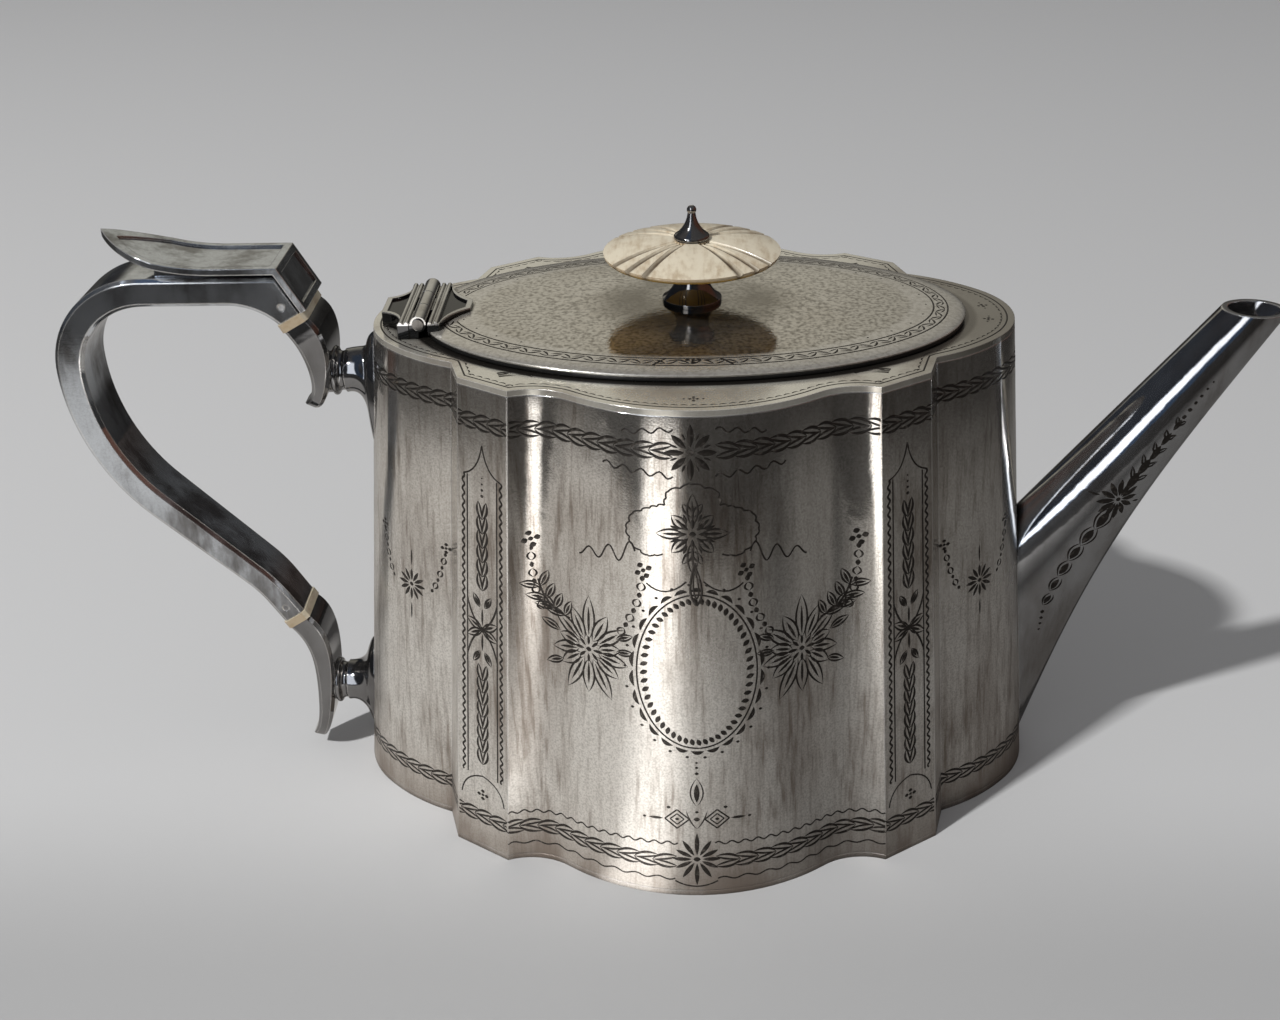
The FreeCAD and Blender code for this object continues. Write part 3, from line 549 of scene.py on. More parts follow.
@dataclass(frozen=True)
class FloorFinish:
    """Pale floor, darkened towards the front by painted shade; mirrors see it as a table lit from the left,
    with one glowing streak painted in as a reflection.

    Lengths are in metres and the streak's angles in radians. The tones round the pot go by the angle in
    degrees from the front, towards the spout.
    """

    name: str
    pale: Colour = (0.62, 0.62, 0.62)
    near: Colour = (0.45, 0.45, 0.45)
    front_shade_window: Flat = (-0.015, -0.085)
    dark: Colour = (0.02, 0.018, 0.016)
    dark_share: float = 0.9
    front_edge: Flat = (-0.228, -0.254)
    far_edge: Flat = (0.25, 0.38)
    far_share: float = 0.92
    warmth: Colour = (1.0, 0.965, 0.92)
    middle: float = -0.012
    streak: Colour = (2.5, 2.45, 2.4)
    streak_angle: float = -0.31
    streak_half: Flat = (0.22, 0.03)
    streak_reach: Flat = (0.45, 0.30)
    rough: float = 0.8
    gloss: float = 0.1
    round_the_pot: tuple[Flat, ...] = (
        (-180.0, 0.25), (-110.0, 0.58), (-60.0, 0.64), (-30.0, 0.70), (-8.0, 0.55), (8.0, 0.36),
        (28.0, 0.17), (45.0, 0.07), (60.0, 0.18), (110.0, 0.15), (180.0, 0.25))

    def material(self) -> bpy.types.Material:
        """Build the material.

        Returns:
            The material.
        """
        material, g = new_material(self.name)
        x, y, _ = g.parts(g.where())
        # Painted shade: the floor darkens towards the front.
        tint = g.mixed(y.clamped(*self.front_shade_window), self.pale, self.near)
        angle = g.node("ShaderNodeMath", {"operation": "ARCTAN2"}, {0: x, 1: self.middle - y})
        stops = [(0.5 + a / 360.0, tuple(tone * w for w in self.warmth)) for a, tone in self.round_the_pot]
        table = g.node("ShaderNodeValToRGB", {"stops": stops}, {0: angle * (0.5 / math.pi) + 0.5})
        reach = x * x + y * y
        table = g.mixed(y.clamped(*self.front_edge) * self.dark_share, table, self.dark)
        far = reach.clamped(*(edge ** 2 for edge in self.far_edge))
        table = g.mixed(far * self.far_share, table, self.dark)
        # Painted reflection: mirror rays see table tones lit from the left, dark beyond the table's edges,
        # and a streak that glows though no lamp is there.
        glossy = g.node("ShaderNodeLightPath", output="Is Glossy Ray")
        off = angle - self.streak_angle
        streak = (off * off).clamped(*(half ** 2 for half in self.streak_half))
        streak = streak * reach.clamped(*(edge ** 2 for edge in self.streak_reach))
        matt = g.node("ShaderNodeBsdfPrincipled", {}, {
            "Base Color": g.mixed(glossy, tint, table), "Roughness": self.rough,
            "Specular IOR Level": self.gloss})
        painted_streak_glow = g.node("ShaderNodeEmission", {}, {"Color": (*self.streak, 1.0), "Strength": 1.0})
        shader = g.node("ShaderNodeMixShader", {}, {0: glossy * streak, 1: matt, 2: painted_streak_glow})
        g.node("ShaderNodeOutputMaterial", {}, {"Surface": shader})
        return material


@dataclass(frozen=True)
class Cut:
    """One engraved cut: a line in flat millimetres, its greatest width and how the width runs."""

    points: tuple[Flat, ...]
    width: float
    stroke: Stroke = Stroke.LENS

    def moved(self, u: float, v: float, turn: float = 0.0, flip: bool = False) -> "Cut":
        """Copy in another place.

        Args:
            u: shift along the first axis.
            v: shift along the second axis.
            turn: angle in degrees, turned before the shift.
            flip: mirror the first axis before the turn.

        Returns:
            The copy.
        """
        c, s = math.cos(math.radians(turn)), math.sin(math.radians(turn))
        sign = -1.0 if flip else 1.0
        points = tuple((u + c * x * sign - s * y, v + s * x * sign + c * y) for x, y in self.points)
        return Cut(points, self.width, self.stroke)


def bend(start: Flat, pull: Flat, end: Flat, steps: int = 8) -> tuple[Flat, ...]:
    """Points of a curve that leaves start towards pull and arrives at end from it.

    Args:
        start: first point.
        pull: control point.
        end: last point.
        steps: number of parts.

    Returns:
        The points.
    """
    points = []
    for k in range(steps + 1):
        t = k / steps
        a, b, c = (1 - t) ** 2, 2 * t * (1 - t), t * t
        points.append((a * start[0] + b * pull[0] + c * end[0], a * start[1] + b * pull[1] + c * end[1]))
    return tuple(points)


def line(start: Flat, end: Flat, steps: int = 4) -> tuple[Flat, ...]:
    """Points of a straight run.

    Args:
        start: first point.
        end: last point.
        steps: number of parts.

    Returns:
        The points.
    """
    run = (end[0] - start[0], end[1] - start[1])
    return tuple((start[0] + run[0] * k / steps, start[1] + run[1] * k / steps) for k in range(steps + 1))


def placed(cuts: Iterable[Cut], u: float, v: float, turn: float = 0.0, flip: bool = False) -> list[Cut]:
    """Copies of several cuts in another place.

    Args:
        cuts: cuts to copy.
        u: shift along the first axis.
        v: shift along the second axis.
        turn: angle in degrees.
        flip: mirror the first axis first.

    Returns:
        The copies.
    """
    return [cut.moved(u, v, turn, flip) for cut in cuts]


def both(cuts: list[Cut]) -> list[Cut]:
    """The cuts and their mirror images across the middle."""
    return cuts + placed(cuts, 0.0, 0.0, 0.0, True)


class Motifs:
    """Traditional engraved ornaments, in flat millimetres about their own centre."""

    hair = 0.37
    fine = 0.50
    bold = 0.66
    bloom_root = 2.2
    bloom_short = 0.82
    wave_parts = 8

    @classmethod
    def dot(cls, u: float, v: float, radius: float) -> Cut:
        """Round punch mark."""
        return Cut(line((u - radius, v), (u + radius, v), 6), 1.7 * radius)

    @classmethod
    def thread(cls, points: Sequence[Flat], width: float = hair) -> Cut:
        """Line of one even width."""
        return Cut(tuple(points), width, Stroke.EVEN)

    @classmethod
    def petal(cls, inner: float, outer: float, width: float, angle: float) -> Cut:
        """Solid pointed petal at an angle in degrees.

        Args:
            inner: distance of its root.
            outer: distance of its point.
            width: greatest width.
            angle: direction.

        Returns:
            The petal.
        """
        return Cut(line((inner, 0.0), (outer, 0.0), 6), width).moved(0.0, 0.0, angle)

    @classmethod
    def points(cls, count: int, inner: float, outer: float, width: float) -> list[Cut]:
        """Ring of narrow petals that stand between those of a flower with the same count."""
        return [cls.petal(inner, outer, width, 360.0 * (k + 0.5) / count) for k in range(count)]

    @classmethod
    def leaf(cls, length: float, width: float, angle: float, rib: bool = True) -> list[Cut]:
        """Leaf drawn by its two edges and its rib.

        Args:
            length: length from root to point.
            width: greatest width.
            angle: direction in degrees.
            rib: whether the rib is cut.

        Returns:
            The cuts.
        """
        cuts = [Cut(bend((0.0, 0.0), (length * 0.45, side * width), (length, 0.0)), cls.fine)
                for side in (-1.0, 1.0)]
        if rib:
            cuts.append(Cut(line((length * 0.1, 0.0), (length * 0.75, 0.0), 4), cls.fine * 1.3))
        return placed(cuts, 0.0, 0.0, angle)

    @classmethod
    def daisy(cls, petals: int, inner: float, outer: float, width: float, tall: float = 1.0) -> list[Cut]:
        """Flower of solid petals with a dot in the middle.

        Args:
            petals: number of petals.
            inner: distance of the petals' roots.
            outer: distance of their points.
            width: petal width.
            tall: how much longer the upright petals are.

        Returns:
            The cuts.
        """
        cuts = [cls.dot(0.0, 0.0, inner * 0.62)]
        for k in range(petals):
            angle = 360.0 * k / petals
            reach = outer * (1.0 + (tall - 1.0) * abs(math.sin(math.radians(angle))) ** 6)
            cuts.append(cls.petal(inner, reach, width, angle))
        return cuts

    @classmethod
    def bloom(cls, petals: int, wide: float, tall: float) -> list[Cut]:
        """Full flower of outlined petals, taller than wide.

        Args:
            petals: number of petals.
            wide: reach sideways.
            tall: reach up and down.

        Returns:
            The cuts.
        """
        cuts = cls.daisy(8, 1.0, 3.0, 0.7)
        for k in range(petals):
            angle = 360.0 * (k + 0.5) / petals
            c, s = math.cos(math.radians(angle)), math.sin(math.radians(angle))
            reach = math.hypot(wide * c, tall * s) * (1.0 if k % 2 else cls.bloom_short)
            petal = cls.leaf(reach - cls.bloom_root, 2.6, angle)
            cuts += placed(petal, cls.bloom_root * c, cls.bloom_root * s)
        return cuts

    @classmethod
    def wave(cls, start: Flat, end: Flat, pitch: float, height: float, width: float = hair) -> Cut:
        """Wavy line along a straight run.

        Args:
            start: first point.
            end: last point.
            pitch: length of one wave.
            height: half height of the wave.
            width: width of the cut.

        Returns:
            The cut.
        """
        run = (end[0] - start[0], end[1] - start[1])
        length = math.hypot(*run)
        along = (run[0] / length, run[1] / length)
        parts = max(1, round(length / pitch)) * cls.wave_parts
        points = []
        for k in range(parts + 1):
            s = length * k / parts
            w = height * math.sin(math.pi * 2 * k / cls.wave_parts)
            points.append((start[0] + along[0] * s - along[1] * w, start[1] + along[1] * s + along[0] * w))
        return cls.thread(points, width)

    @classmethod
    def laurel(cls, start: float, end: float, v: float, height: float, pitch: float = 3.5) -> list[Cut]:
        """Level garland of paired leaves that point from start to end.

        Args:
            start: where it begins.
            end: where it ends.
            v: level of its middle.
            height: height between its borders.
            pitch: distance from pair to pair.

        Returns:
            The cuts.
        """
        way = 1.0 if end > start else -1.0
        count = int(abs(end - start) / pitch)
        step = (end - start) / max(1, count)
        cuts = []
        for k in range(count):
            u = start + step * k
            for side in (-1.0, 1.0):
                tip = (pitch * 1.35, side * height * 0.30)
                pair = [Cut(bend((0.0, 0.0), (pitch * 0.5, side * height * 0.55), tip), cls.bold),
                        Cut(bend((0.0, 0.0), (pitch * 0.9, side * height * 0.05), tip), cls.hair * 1.4)]
                cuts += placed(pair, u, v, 0.0, way < 0)
        return cuts

    @classmethod
    def beads(cls, route: Sequence[Flat], pitch: float, size: float) -> list[Cut]:
        """Row of beads, every second one with a pair of small side cuts.

        Args:
            route: points that it follows.
            pitch: distance from bead to bead.
            size: radius of a bead.

        Returns:
            The cuts.
        """
        cuts = []
        walked, due, count = 0.0, 0.0, 0
        for (u0, v0), (u1, v1) in zip(route[:-1], route[1:]):
            run = math.hypot(u1 - u0, v1 - v0)
            angle = math.degrees(math.atan2(v1 - v0, u1 - u0))
            while due <= walked + run:
                t = (due - walked) / run
                u, v = u0 + (u1 - u0) * t, v0 + (v1 - v0) * t
                bead = [cls.dot(0.0, 0.0, size)]
                if count % 2:
                    curls = [bend((-pitch * 0.5, 0.0), (0.0, side * size * 2.4), (pitch * 0.5, 0.0))
                             for side in (-1.0, 1.0)]
                    bead = [Cut(curl, cls.hair * 1.3) for curl in curls]
                cuts += placed(bead, u, v, angle)
                due += pitch
                count += 1
            walked += run
        return cuts

    @classmethod
    def floret(cls, size: float) -> list[Cut]:
        """Small flower of four punch marks round a fifth."""
        around = [(size, 0.0), (-size, 0.0), (0.0, size), (0.0, -size)]
        return [cls.dot(0.0, 0.0, size * 0.42)] + [cls.dot(u, v, size * 0.52) for u, v in around]


@dataclass
class Engraver:
    """Cuts ornaments onto the surface of one node as one piece. Sizes are in millimetres."""

    node: str
    body: Body
    slot: Slot
    finish: bpy.types.Material
    depth: float = 0.05
    edge_lift: float = 0.004
    thin_share: float = 0.08
    swell_power: float = 0.7
    crest_share: float = 0.3
    tree: BVHTree = field(init=False)

    def __post_init__(self) -> None:
        """Index the surface of the node."""
        mesh = NODES[self.node].data
        points = [v.co.copy() for v in mesh.vertices]
        self.tree = BVHTree.FromPolygons(points, [tuple(p.vertices) for p in mesh.polygons])

    def piece(self, name: str, cuts: Iterable[Cut], place: Place) -> bpy.types.Object:
        """Make one mesh of all the cuts.

        Args:
            name: name of the piece.
            cuts: cuts in flat millimetres.
            place: gives the point in metres for a flat point.

        Returns:
            The piece.
        """
        verts: list[Vector] = []
        faces: list[tuple[int, ...]] = []
        for cut in cuts:
            self._cut(cut, place, verts, faces)
        mesh = bpy.data.meshes.new(name)
        mesh.from_pydata(verts, [], faces)
        mesh.update()
        piece = bpy.data.objects.new(name, mesh)
        bpy.context.scene.collection.objects.link(piece)
        piece.data.materials.append(self.finish)
        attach(piece, self.body.value)
        LOG.info("%s: %d faces", name, len(faces))
        return piece

    def _cut(self, cut: Cut, place: Place, verts: list[Vector], faces: list[tuple[int, ...]]) -> None:
        """Add one cut as a slim closed rib with a crest, two edges and a keel.

        Args:
            cut: cut to add.
            place: gives the point in metres for a flat point.
            verts: vertices so far.
            faces: faces so far.
        """
        spots = []
        for u, v in cut.points:
            spot, normal, _, _ = self.tree.find_nearest(place(u, v))
            spots.append((spot, normal))
        first, last = len(verts), len(spots) - 1
        for k, (spot, normal) in enumerate(spots):
            ahead = spots[min(k + 1, last)][0] - spots[max(k - 1, 0)][0]
            side = normal.cross(ahead).normalized()
            share = 1.0
            if cut.stroke is Stroke.LENS:
                share = max(self.thin_share, math.sin(math.pi * (k / last)) ** self.swell_power)
            half = side * (0.5 * cut.width * share * MM)
            rise = normal * (self.depth * MM * (self.crest_share + (1.0 - self.crest_share) * share))
            lift = normal * (self.edge_lift * MM)
            verts += [spot + half + lift, spot + rise, spot - half + lift, spot - rise]
        for k in range(last):
            a, b = first + 4 * k, first + 4 * (k + 1)
            for e in range(4):
                n = (e + 1) % 4
                faces.append((a + e, a + n, b + n, b + e))
        faces.append((first + 3, first + 2, first + 1, first))
        end = first + 4 * last
        faces.append((end, end + 1, end + 2, end + 3))


def dress(node: str, material: bpy.types.Material) -> None:
    """Give a CAD node its finish.

    Args:
        node: name of the node.
        material: finish.
    """
    for slot in NODES[node].material_slots:
        slot.material = material
    LOG.info("%s: %s", node, material.name)


@dataclass
class BodyPlan:
    """Outline of the pot from above, in millimetres at its top edge, and its taper."""

    height: float = 110.0
    base_flare: float = 1.149
    bow_half_depth: float = 50.4
    bow_radius: float = 39.0
    flute_radius: float = 12.0
    arris: Flat = (36.2, 40.2)
    pilaster: Flat = (46.7, 33.0)
    step: Flat = (48.9, 25.1)
    end_half_length: float = 68.5
    flank_radius: float = 40.0
    end_radius: float = 22.0
    fineness: float = 0.5
    nudge: float = 0.4
    route: list[Flat] = field(init=False)
    walked: list[float] = field(init=False)
    marks: dict[str, float] = field(init=False)

    def __post_init__(self) -> None:
        """Walk the outline from the middle of the front to the end, and keep the length at each corner."""
        bow = Vector((0.0, self.bow_half_depth - self.bow_radius))
        arris, pilaster, step = (Vector(p) for p in (self.arris, self.pilaster, self.step))
        end = Vector((self.end_half_length - self.end_radius, 0.0))
        flute = self._meet(bow, self.bow_radius + self.flute_radius, arris, self.flute_radius)
        flank = self._meet(end, self.flank_radius - self.end_radius, step, self.flank_radius)
        bow_end = bow + (flute - bow).normalized() * self.bow_radius
        flank_end = end + (end - flank).normalized() * self.end_radius
        runs = {
            "bow": self._arc(Vector((0.0, self.bow_half_depth)), bow_end, bow),
            "arris": self._arc(bow_end, arris, flute),
            "pilaster": [arris, pilaster],
            "step": [pilaster, step],
            "flank": self._arc(step, flank_end, flank),
            "end": self._arc(flank_end, Vector((self.end_half_length, 0.0)), end),
        }
        self.route, self.walked, self.marks = [(0.0, self.bow_half_depth)], [0.0], {}
        for name, run in runs.items():
            for p, q in zip(run[:-1], run[1:]):
                parts = max(1, round((q - p).length / self.fineness))
                for k in range(1, parts + 1):
                    spot = p + (q - p) * (k / parts)
                    self.walked.append(self.walked[-1] + (spot - Vector(self.route[-1])).length)
                    self.route.append((spot.x, spot.y))
            self.marks[name] = self.walked[-1]

    @staticmethod
    def _meet(first: Vector, first_radius: float, second: Vector, second_radius: float) -> Vector:
        """Crossing of two circles on the left of the line between their centres.

        Args:
            first: centre of the first circle.
            first_radius: its radius.
            second: centre of the second circle.
            second_radius: its radius.

        Returns:
            The crossing.
        """
        run = second - first
        along = (first_radius ** 2 - second_radius ** 2 + run.length_squared) / (2 * run.length)
        across = math.sqrt(first_radius ** 2 - along ** 2)
        unit = run.normalized()
        return first + unit * along + Vector((-unit.y, unit.x)) * across

    @staticmethod
    def _arc(start: Vector, end: Vector, centre: Vector) -> list[Vector]:
        """Points of the short arc from start to end.

        Args:
            start: first point.
            end: last point.
            centre: centre of the arc.

        Returns:
            The points.
        """
        radius = (start - centre).length
        first = math.atan2(start.y - centre.y, start.x - centre.x)
        turn = math.atan2(end.y - centre.y, end.x - centre.x) - first
        turn = (turn + math.pi) % (2 * math.pi) - math.pi
        parts = max(4, round(abs(turn) * radius))
        angles = [first + turn * k / parts for k in range(parts + 1)]
        return [centre + Vector((math.cos(a), math.sin(a))) * radius for a in angles]

    def outline(self, walk: float) -> Flat:
        """Point of the outline.

        Args:
            walk: length from the middle of the front, negative on the handle's side.

        Returns:
            The point, with a positive depth.
        """
        length = min(abs(walk), self.walked[-1])
        low, high = 0, len(self.walked) - 1
        while high - low > 1:
            middle = (low + high) // 2
            if self.walked[middle] <= length:
                low = middle
            else:
                high = middle
        t = (length - self.walked[low]) / (self.walked[high] - self.walked[low])
        (x0, y0), (x1, y1) = self.route[low], self.route[high]
        x = x0 + (x1 - x0) * t
        return (x if walk >= 0 else -x, y0 + (y1 - y0) * t)

    def scale(self, z: float) -> float:
        """Size of the outline at a height, as a share of the top edge."""
        return self.base_flare + (1.0 - self.base_flare) * z / self.height

    def wall(self, front: bool) -> Place:
        """Placing of flat ornament on the wall, walk along and height up.

        Args:
            front: the front or the back of the pot.

        Returns:
            The function that places a point.
        """
        def place(u: float, v: float) -> Vector:
            """Put one point on the wall.

            Args:
                u: walk.
                v: height.

            Returns:
                The point in metres.
            """
            k = self.scale(v)
            x, y = self.outline(u)
            return Vector((x * k, (-y if front else y) * k, v)) * MM
        return place

    def top(self, front: bool) -> Place:
        """Placing of flat ornament on the top plate, walk along and distance in from the edge.

        Args:
            front: the front or the back of the pot.

        Returns:
            The function that places a point.
        """
        def place(u: float, v: float) -> Vector:
            """Put one point on the top plate.

            Args:
                u: walk.
                v: distance in from the edge.

            Returns:
                The point in metres.
            """
            x, y = self.outline(u)
            x1, y1 = self.outline(u + self.nudge)
            x0, y0 = self.outline(u - self.nudge)
            tangent = Vector((x1 - x0, y1 - y0)).normalized()
            x, y = x + tangent.y * v, y - tangent.x * v
            return Vector((x, -y if front else y, self.height)) * MM
        return place


@dataclass
class PotBody:
    """Wall, base, top plate and mouth collar, with the engraving of the wall and the top.

    Sizes are in millimetres: walks along the wall from the middle of a side, heights, and insets from
    an edge.
    """

    plan: BodyPlan
    silver: bpy.types.Material
    top_silver: bpy.types.Material
    cut: bpy.types.Material
    upper_band: float = 101.8
    lower_band: float = 8.6
    band_height: float = 4.2
    upper_clear: float = 5.2
    lower_clear: float = 4.8
    upper_rosette: Flat = (-0.7, 101.5)
    lower_rosette: Flat = (0.1, 9.2)
    cartouche: Flat = (0.3, 54.0)
    cartouche_rise: float = 6.0
    bead_ring: Flat = (9.4, 10.9)
    bead_lean: float = 0.05
    beads: int = 52
    line_ring: float = 11.5
    line_parts: int = 96
    scallop_ring: float = 12.3
    scallop_gap: float = 0.08
    scallops: int = 26
    dot_ring: float = 13.8
    flower: Flat = (-0.4, 84.6)
    flower_root: float = 1.6
    flower_reaches: tuple[float, ...] = (7.0, 5.6, 8.6, 5.6, 7.0, 5.6, 8.6, 5.6)
    cloud: tuple[Flat, ...] = (
        (0.0, 10.4), (4.6, 8.8), (5.2, 6.0), (8.0, 5.2), (11.4, 3.6), (12.6, 0.2), (11.4, -3.0),
        (8.4, -4.9), (5.6, -4.4))
    cloud_swell: float = 0.9
    ribbon_parts: int = 40
    spray: Flat = (21.3, 56.0)
    festoons: tuple[tuple[Flat, Flat, Flat], ...] = (
        ((34.2, 76.0), (34.0, 68.0), (32.0, 62.5)), ((10.0, 74.5), (10.5, 68.0), (14.6, 61.5)))
    festoon_tie: tuple[Flat, Flat, Flat] = ((9.2, 73.6), (5.6, 70.2), (1.6, 74.4))
    lozenges: Flat = (-3.6, 3.9)
    lozenge_level: float = 19.2
    bud_walk: float = 0.1
    pilaster_span: Flat = (19.0, 90.0)
    pilaster_margin: float = 1.6
    pilaster_chains: tuple[Flat, ...] = ((22.0, 46.0), (64.5, 84.0))
    bow_level: float = 55.4
    end_daisy: Flat = (70.2, 56.2)
    end_swags: Flat = (61.2, 79.2)
    end_florets: tuple[Flat, ...] = ((61.0, 67.6), (79.4, 67.6))
    edge_line: float = 1.6
    edge_parts: int = 260
    edge_scallops: int = 46
    edge_pitch: float = 2.0
    edge_florets: tuple[Flat, ...] = ((0.0, 5.6), (-38.4, 8.6), (38.4, 8.6), (-88.0, 5.4), (88.0, 5.4))

    def build(self) -> None:
        """Dress the nodes and engrave them."""
        for node in ("body_wall", "base_plate", "mouth_collar"):
            dress(node, self.silver)
        dress("top_plate", self.top_silver)
        wall = Engraver("body_wall", Body.POT, Slot.SILVER, self.cut)
        top = Engraver("top_plate", Body.POT, Slot.SILVER, self.cut)
        for side, front in (("front", True), ("back", False)):
            wall.piece(f"wall_bands_{side}", self._bands(), self.plan.wall(front))
            wall.piece(f"wall_panel_{side}", self._panel(), self.plan.wall(front))
            wall.piece(f"wall_pilasters_{side}", self._pilasters(), self.plan.wall(front))
            wall.piece(f"wall_ends_{side}", self._ends(), self.plan.wall(front))
            top.piece(f"top_edge_{side}", self._top_edge(), self.plan.top(front))

    def _bands(self) -> list[Cut]:
        """Laurel bands round the top and the foot, with a rosette on each and wavy lines beside them.

        Returns:
            The cuts.
        """
        end, arris = self.plan.marks["end"], self.plan.marks["arris"]
        top, foot = self.upper_band, self.lower_band
        waves = (((4.0, top + 4.4), (14.0, top + 3.2), 3.2, 0.5),
                 ((4.0, top - 5.2), (18.0, top - 3.8), 3.4, 0.6),
                 ((3.5, foot + 4.6), (arris, foot + 3.6), 2.6, 0.35),
                 ((4.0, foot - 4.4), (arris, foot - 4.4), 4.6, 0.35))
        cuts = placed(Motifs.daisy(8, 1.2, 5.0, 1.35, 1.15), *self.upper_rosette)
        cuts += placed(Motifs.points(8, 2.6, 4.2, 0.5), *self.upper_rosette)
        cuts += placed(Motifs.daisy(12, 1.1, 4.5, 1.0, 1.45), *self.lower_rosette)
        cuts.append(Motifs.thread(bend((-4.0, foot - 5.0), (0.0, foot - 7.6), (4.0, foot - 5.0))))
        for way in (-1.0, 1.0):
            for level, clear in ((top, self.upper_clear), (foot, self.lower_clear)):
                cuts += Motifs.laurel(way * end, way * clear, level, self.band_height)
            for (u0, v0), (u1, v1), pitch, height in waves:
                cuts.append(Motifs.wave((way * u0, v0), (way * u1, v1), pitch, height))
        return cuts

    def _panel(self) -> list[Cut]:
        """Cartouche, flowers, sprays and festoons of the bowed panel.

        Returns:
            The cuts.
        """
        half = placed(self._spray(), *self.spray)
        for route in self.festoons:
            half += Motifs.beads(bend(*route), 1.9, 0.64)
        half.append(Motifs.thread(bend(*self.festoon_tie)))
        cuts = self._medallion() + self._cross_flower() + self._lozenges() + both(half)
        for way in (-1.0, 1.0):
            cuts += placed(Motifs.floret(1.35), way * 34.2, 78.0, 20.0)
            cuts += placed(Motifs.floret(1.25), way * 9.8, 76.3, 30.0)
        return cuts

    @staticmethod
    def _spray() -> list[Cut]:
        """Full flower with leaves and a leafy branch, about the middle of the flower.

        Returns:
            The cuts.
        """
        spray = Motifs.bloom(14, 8.4, 12.2)
        leaves = ((6.84, 2.0, 4.6, 30.0), (8.28, 6.0, 4.2, 62.0), (6.12, -4.5, 3.8, -18.0))
        for u, v, length, turn in leaves:
            spray += placed(Motifs.leaf(length, 1.5, turn), u, v)
        branch = bend((4.5, 5.5), (10.0, 6.0), (11.5, 13.0))
        spray.append(Motifs.thread(branch, Motifs.fine))
        for spot in branch[1:8:2]:
            for side in (-1.0, 1.0):
                spray += placed(Motifs.leaf(4.2, 1.5, 62.0 + side * 52.0), *spot)
        for turn, v in ((160.0, 4.0), (176.0, 1.0)):
            spray += placed(Motifs.leaf(3.6, 1.3, turn), -6.0, v)
        return spray

    def _oval(self, reach: float, angle: float) -> Flat:
        """Point of an oval round the cartouche, at a reach sideways and an angle in radians."""
        u, v = self.cartouche
        return (u + reach * math.cos(angle), v + (reach + self.cartouche_rise) * math.sin(angle))

    def _medallion(self) -> list[Cut]:
        """Bare oval medallion in a ring of beads, a line and a scalloped ring, with its loop.

        Returns:
            The cuts.
        """
        cuts: list[Cut] = []
        turn = 2 * math.pi
        for k in range(self.beads):
            angle = turn * k / self.beads
            start = self._oval(self.bead_ring[0], angle)
            end = self._oval(self.bead_ring[1], angle + self.bead_lean)
            cuts.append(Cut(line(start, end, 5), 1.05))
        ring = [self._oval(self.line_ring, turn * k / self.line_parts) for k in range(self.line_parts + 1)]
        cuts.append(Motifs.thread(ring))
        for k in range(self.scallops):
            angles = [turn * (k + e) / self.scallops for e in (self.scallop_gap, 1.0 - self.scallop_gap)]
            first, last = (self._oval(self.scallop_ring, angle) for angle in angles)
            for reach, width in ((12.7, 0.55), (13.6, Motifs.hair)):
                cuts.append(Cut(bend(first, self._oval(reach, sum(angles) / 2), last), width))
            cuts.append(Motifs.dot(*self._oval(self.dot_ring, angles[1]), 0.36))
        u, v = self.cartouche
        for side in (-1.0, 1.0):
            loop = bend((u, v + 15.2), (u + side * 2.2, v + 17.5), (u - side * 0.2 - 0.4, v + 24.5), 12)
            inner = bend((u, v + 16.6), (u + side * 1.0, v + 18.0), (u - 0.4, v + 23.0), 12)
            cuts += [Motifs.thread(loop, Motifs.fine), Motifs.thread(inner)]
        return cuts

    def _cross_flower(self) -> list[Cut]:
        """Large flower above the medallion with its cloud outline and zigzag ribbons.

        Returns:
            The cuts.
        """
        flower = Motifs.daisy(8, 1.1, 3.4, 0.9) + Motifs.points(8, 2.6, 4.6, 0.6)
        for k, reach in enumerate(self.flower_reaches):
            root = [self.flower_root * part(math.pi * k / 4) for part in (math.cos, math.sin)]
            flower += placed(Motifs.leaf(reach - self.flower_root, 2.0, 45.0 * k), *root)
        for up in (-1.0, 1.0):
            for side in (-1.0, 1.0):
                flower += placed(Motifs.leaf(3.4, 1.2, up * 90.0 + side * 34.0, False), 0.0, up * 3.6)
        half: list[Cut] = []
        for start, end in zip(self.cloud[:-1], self.cloud[1:]):
            spots = line(start, end, 2)
            for p, q in zip(spots[:-1], spots[1:]):
                u, v = (p[0] + q[0]) / 2, (p[1] + q[1]) / 2
                swell = 1.0 + self.cloud_swell / math.hypot(u, v)
                half.append(Motifs.thread(bend(p, (u * swell, v * swell), q, 5)))
        ribbon: list[Flat] = []
        for k in range(self.ribbon_parts + 1):
            t = k / self.ribbon_parts
            sway = (2.3 - 1.6 * t) * math.sin(t * 5.5 * math.pi)
            ribbon.append((11.0 + 12.0 * t, -4.4 - 2.4 * t + sway))
        half.append(Motifs.thread(ribbon))
        return placed(flower + both(half), *self.flower)

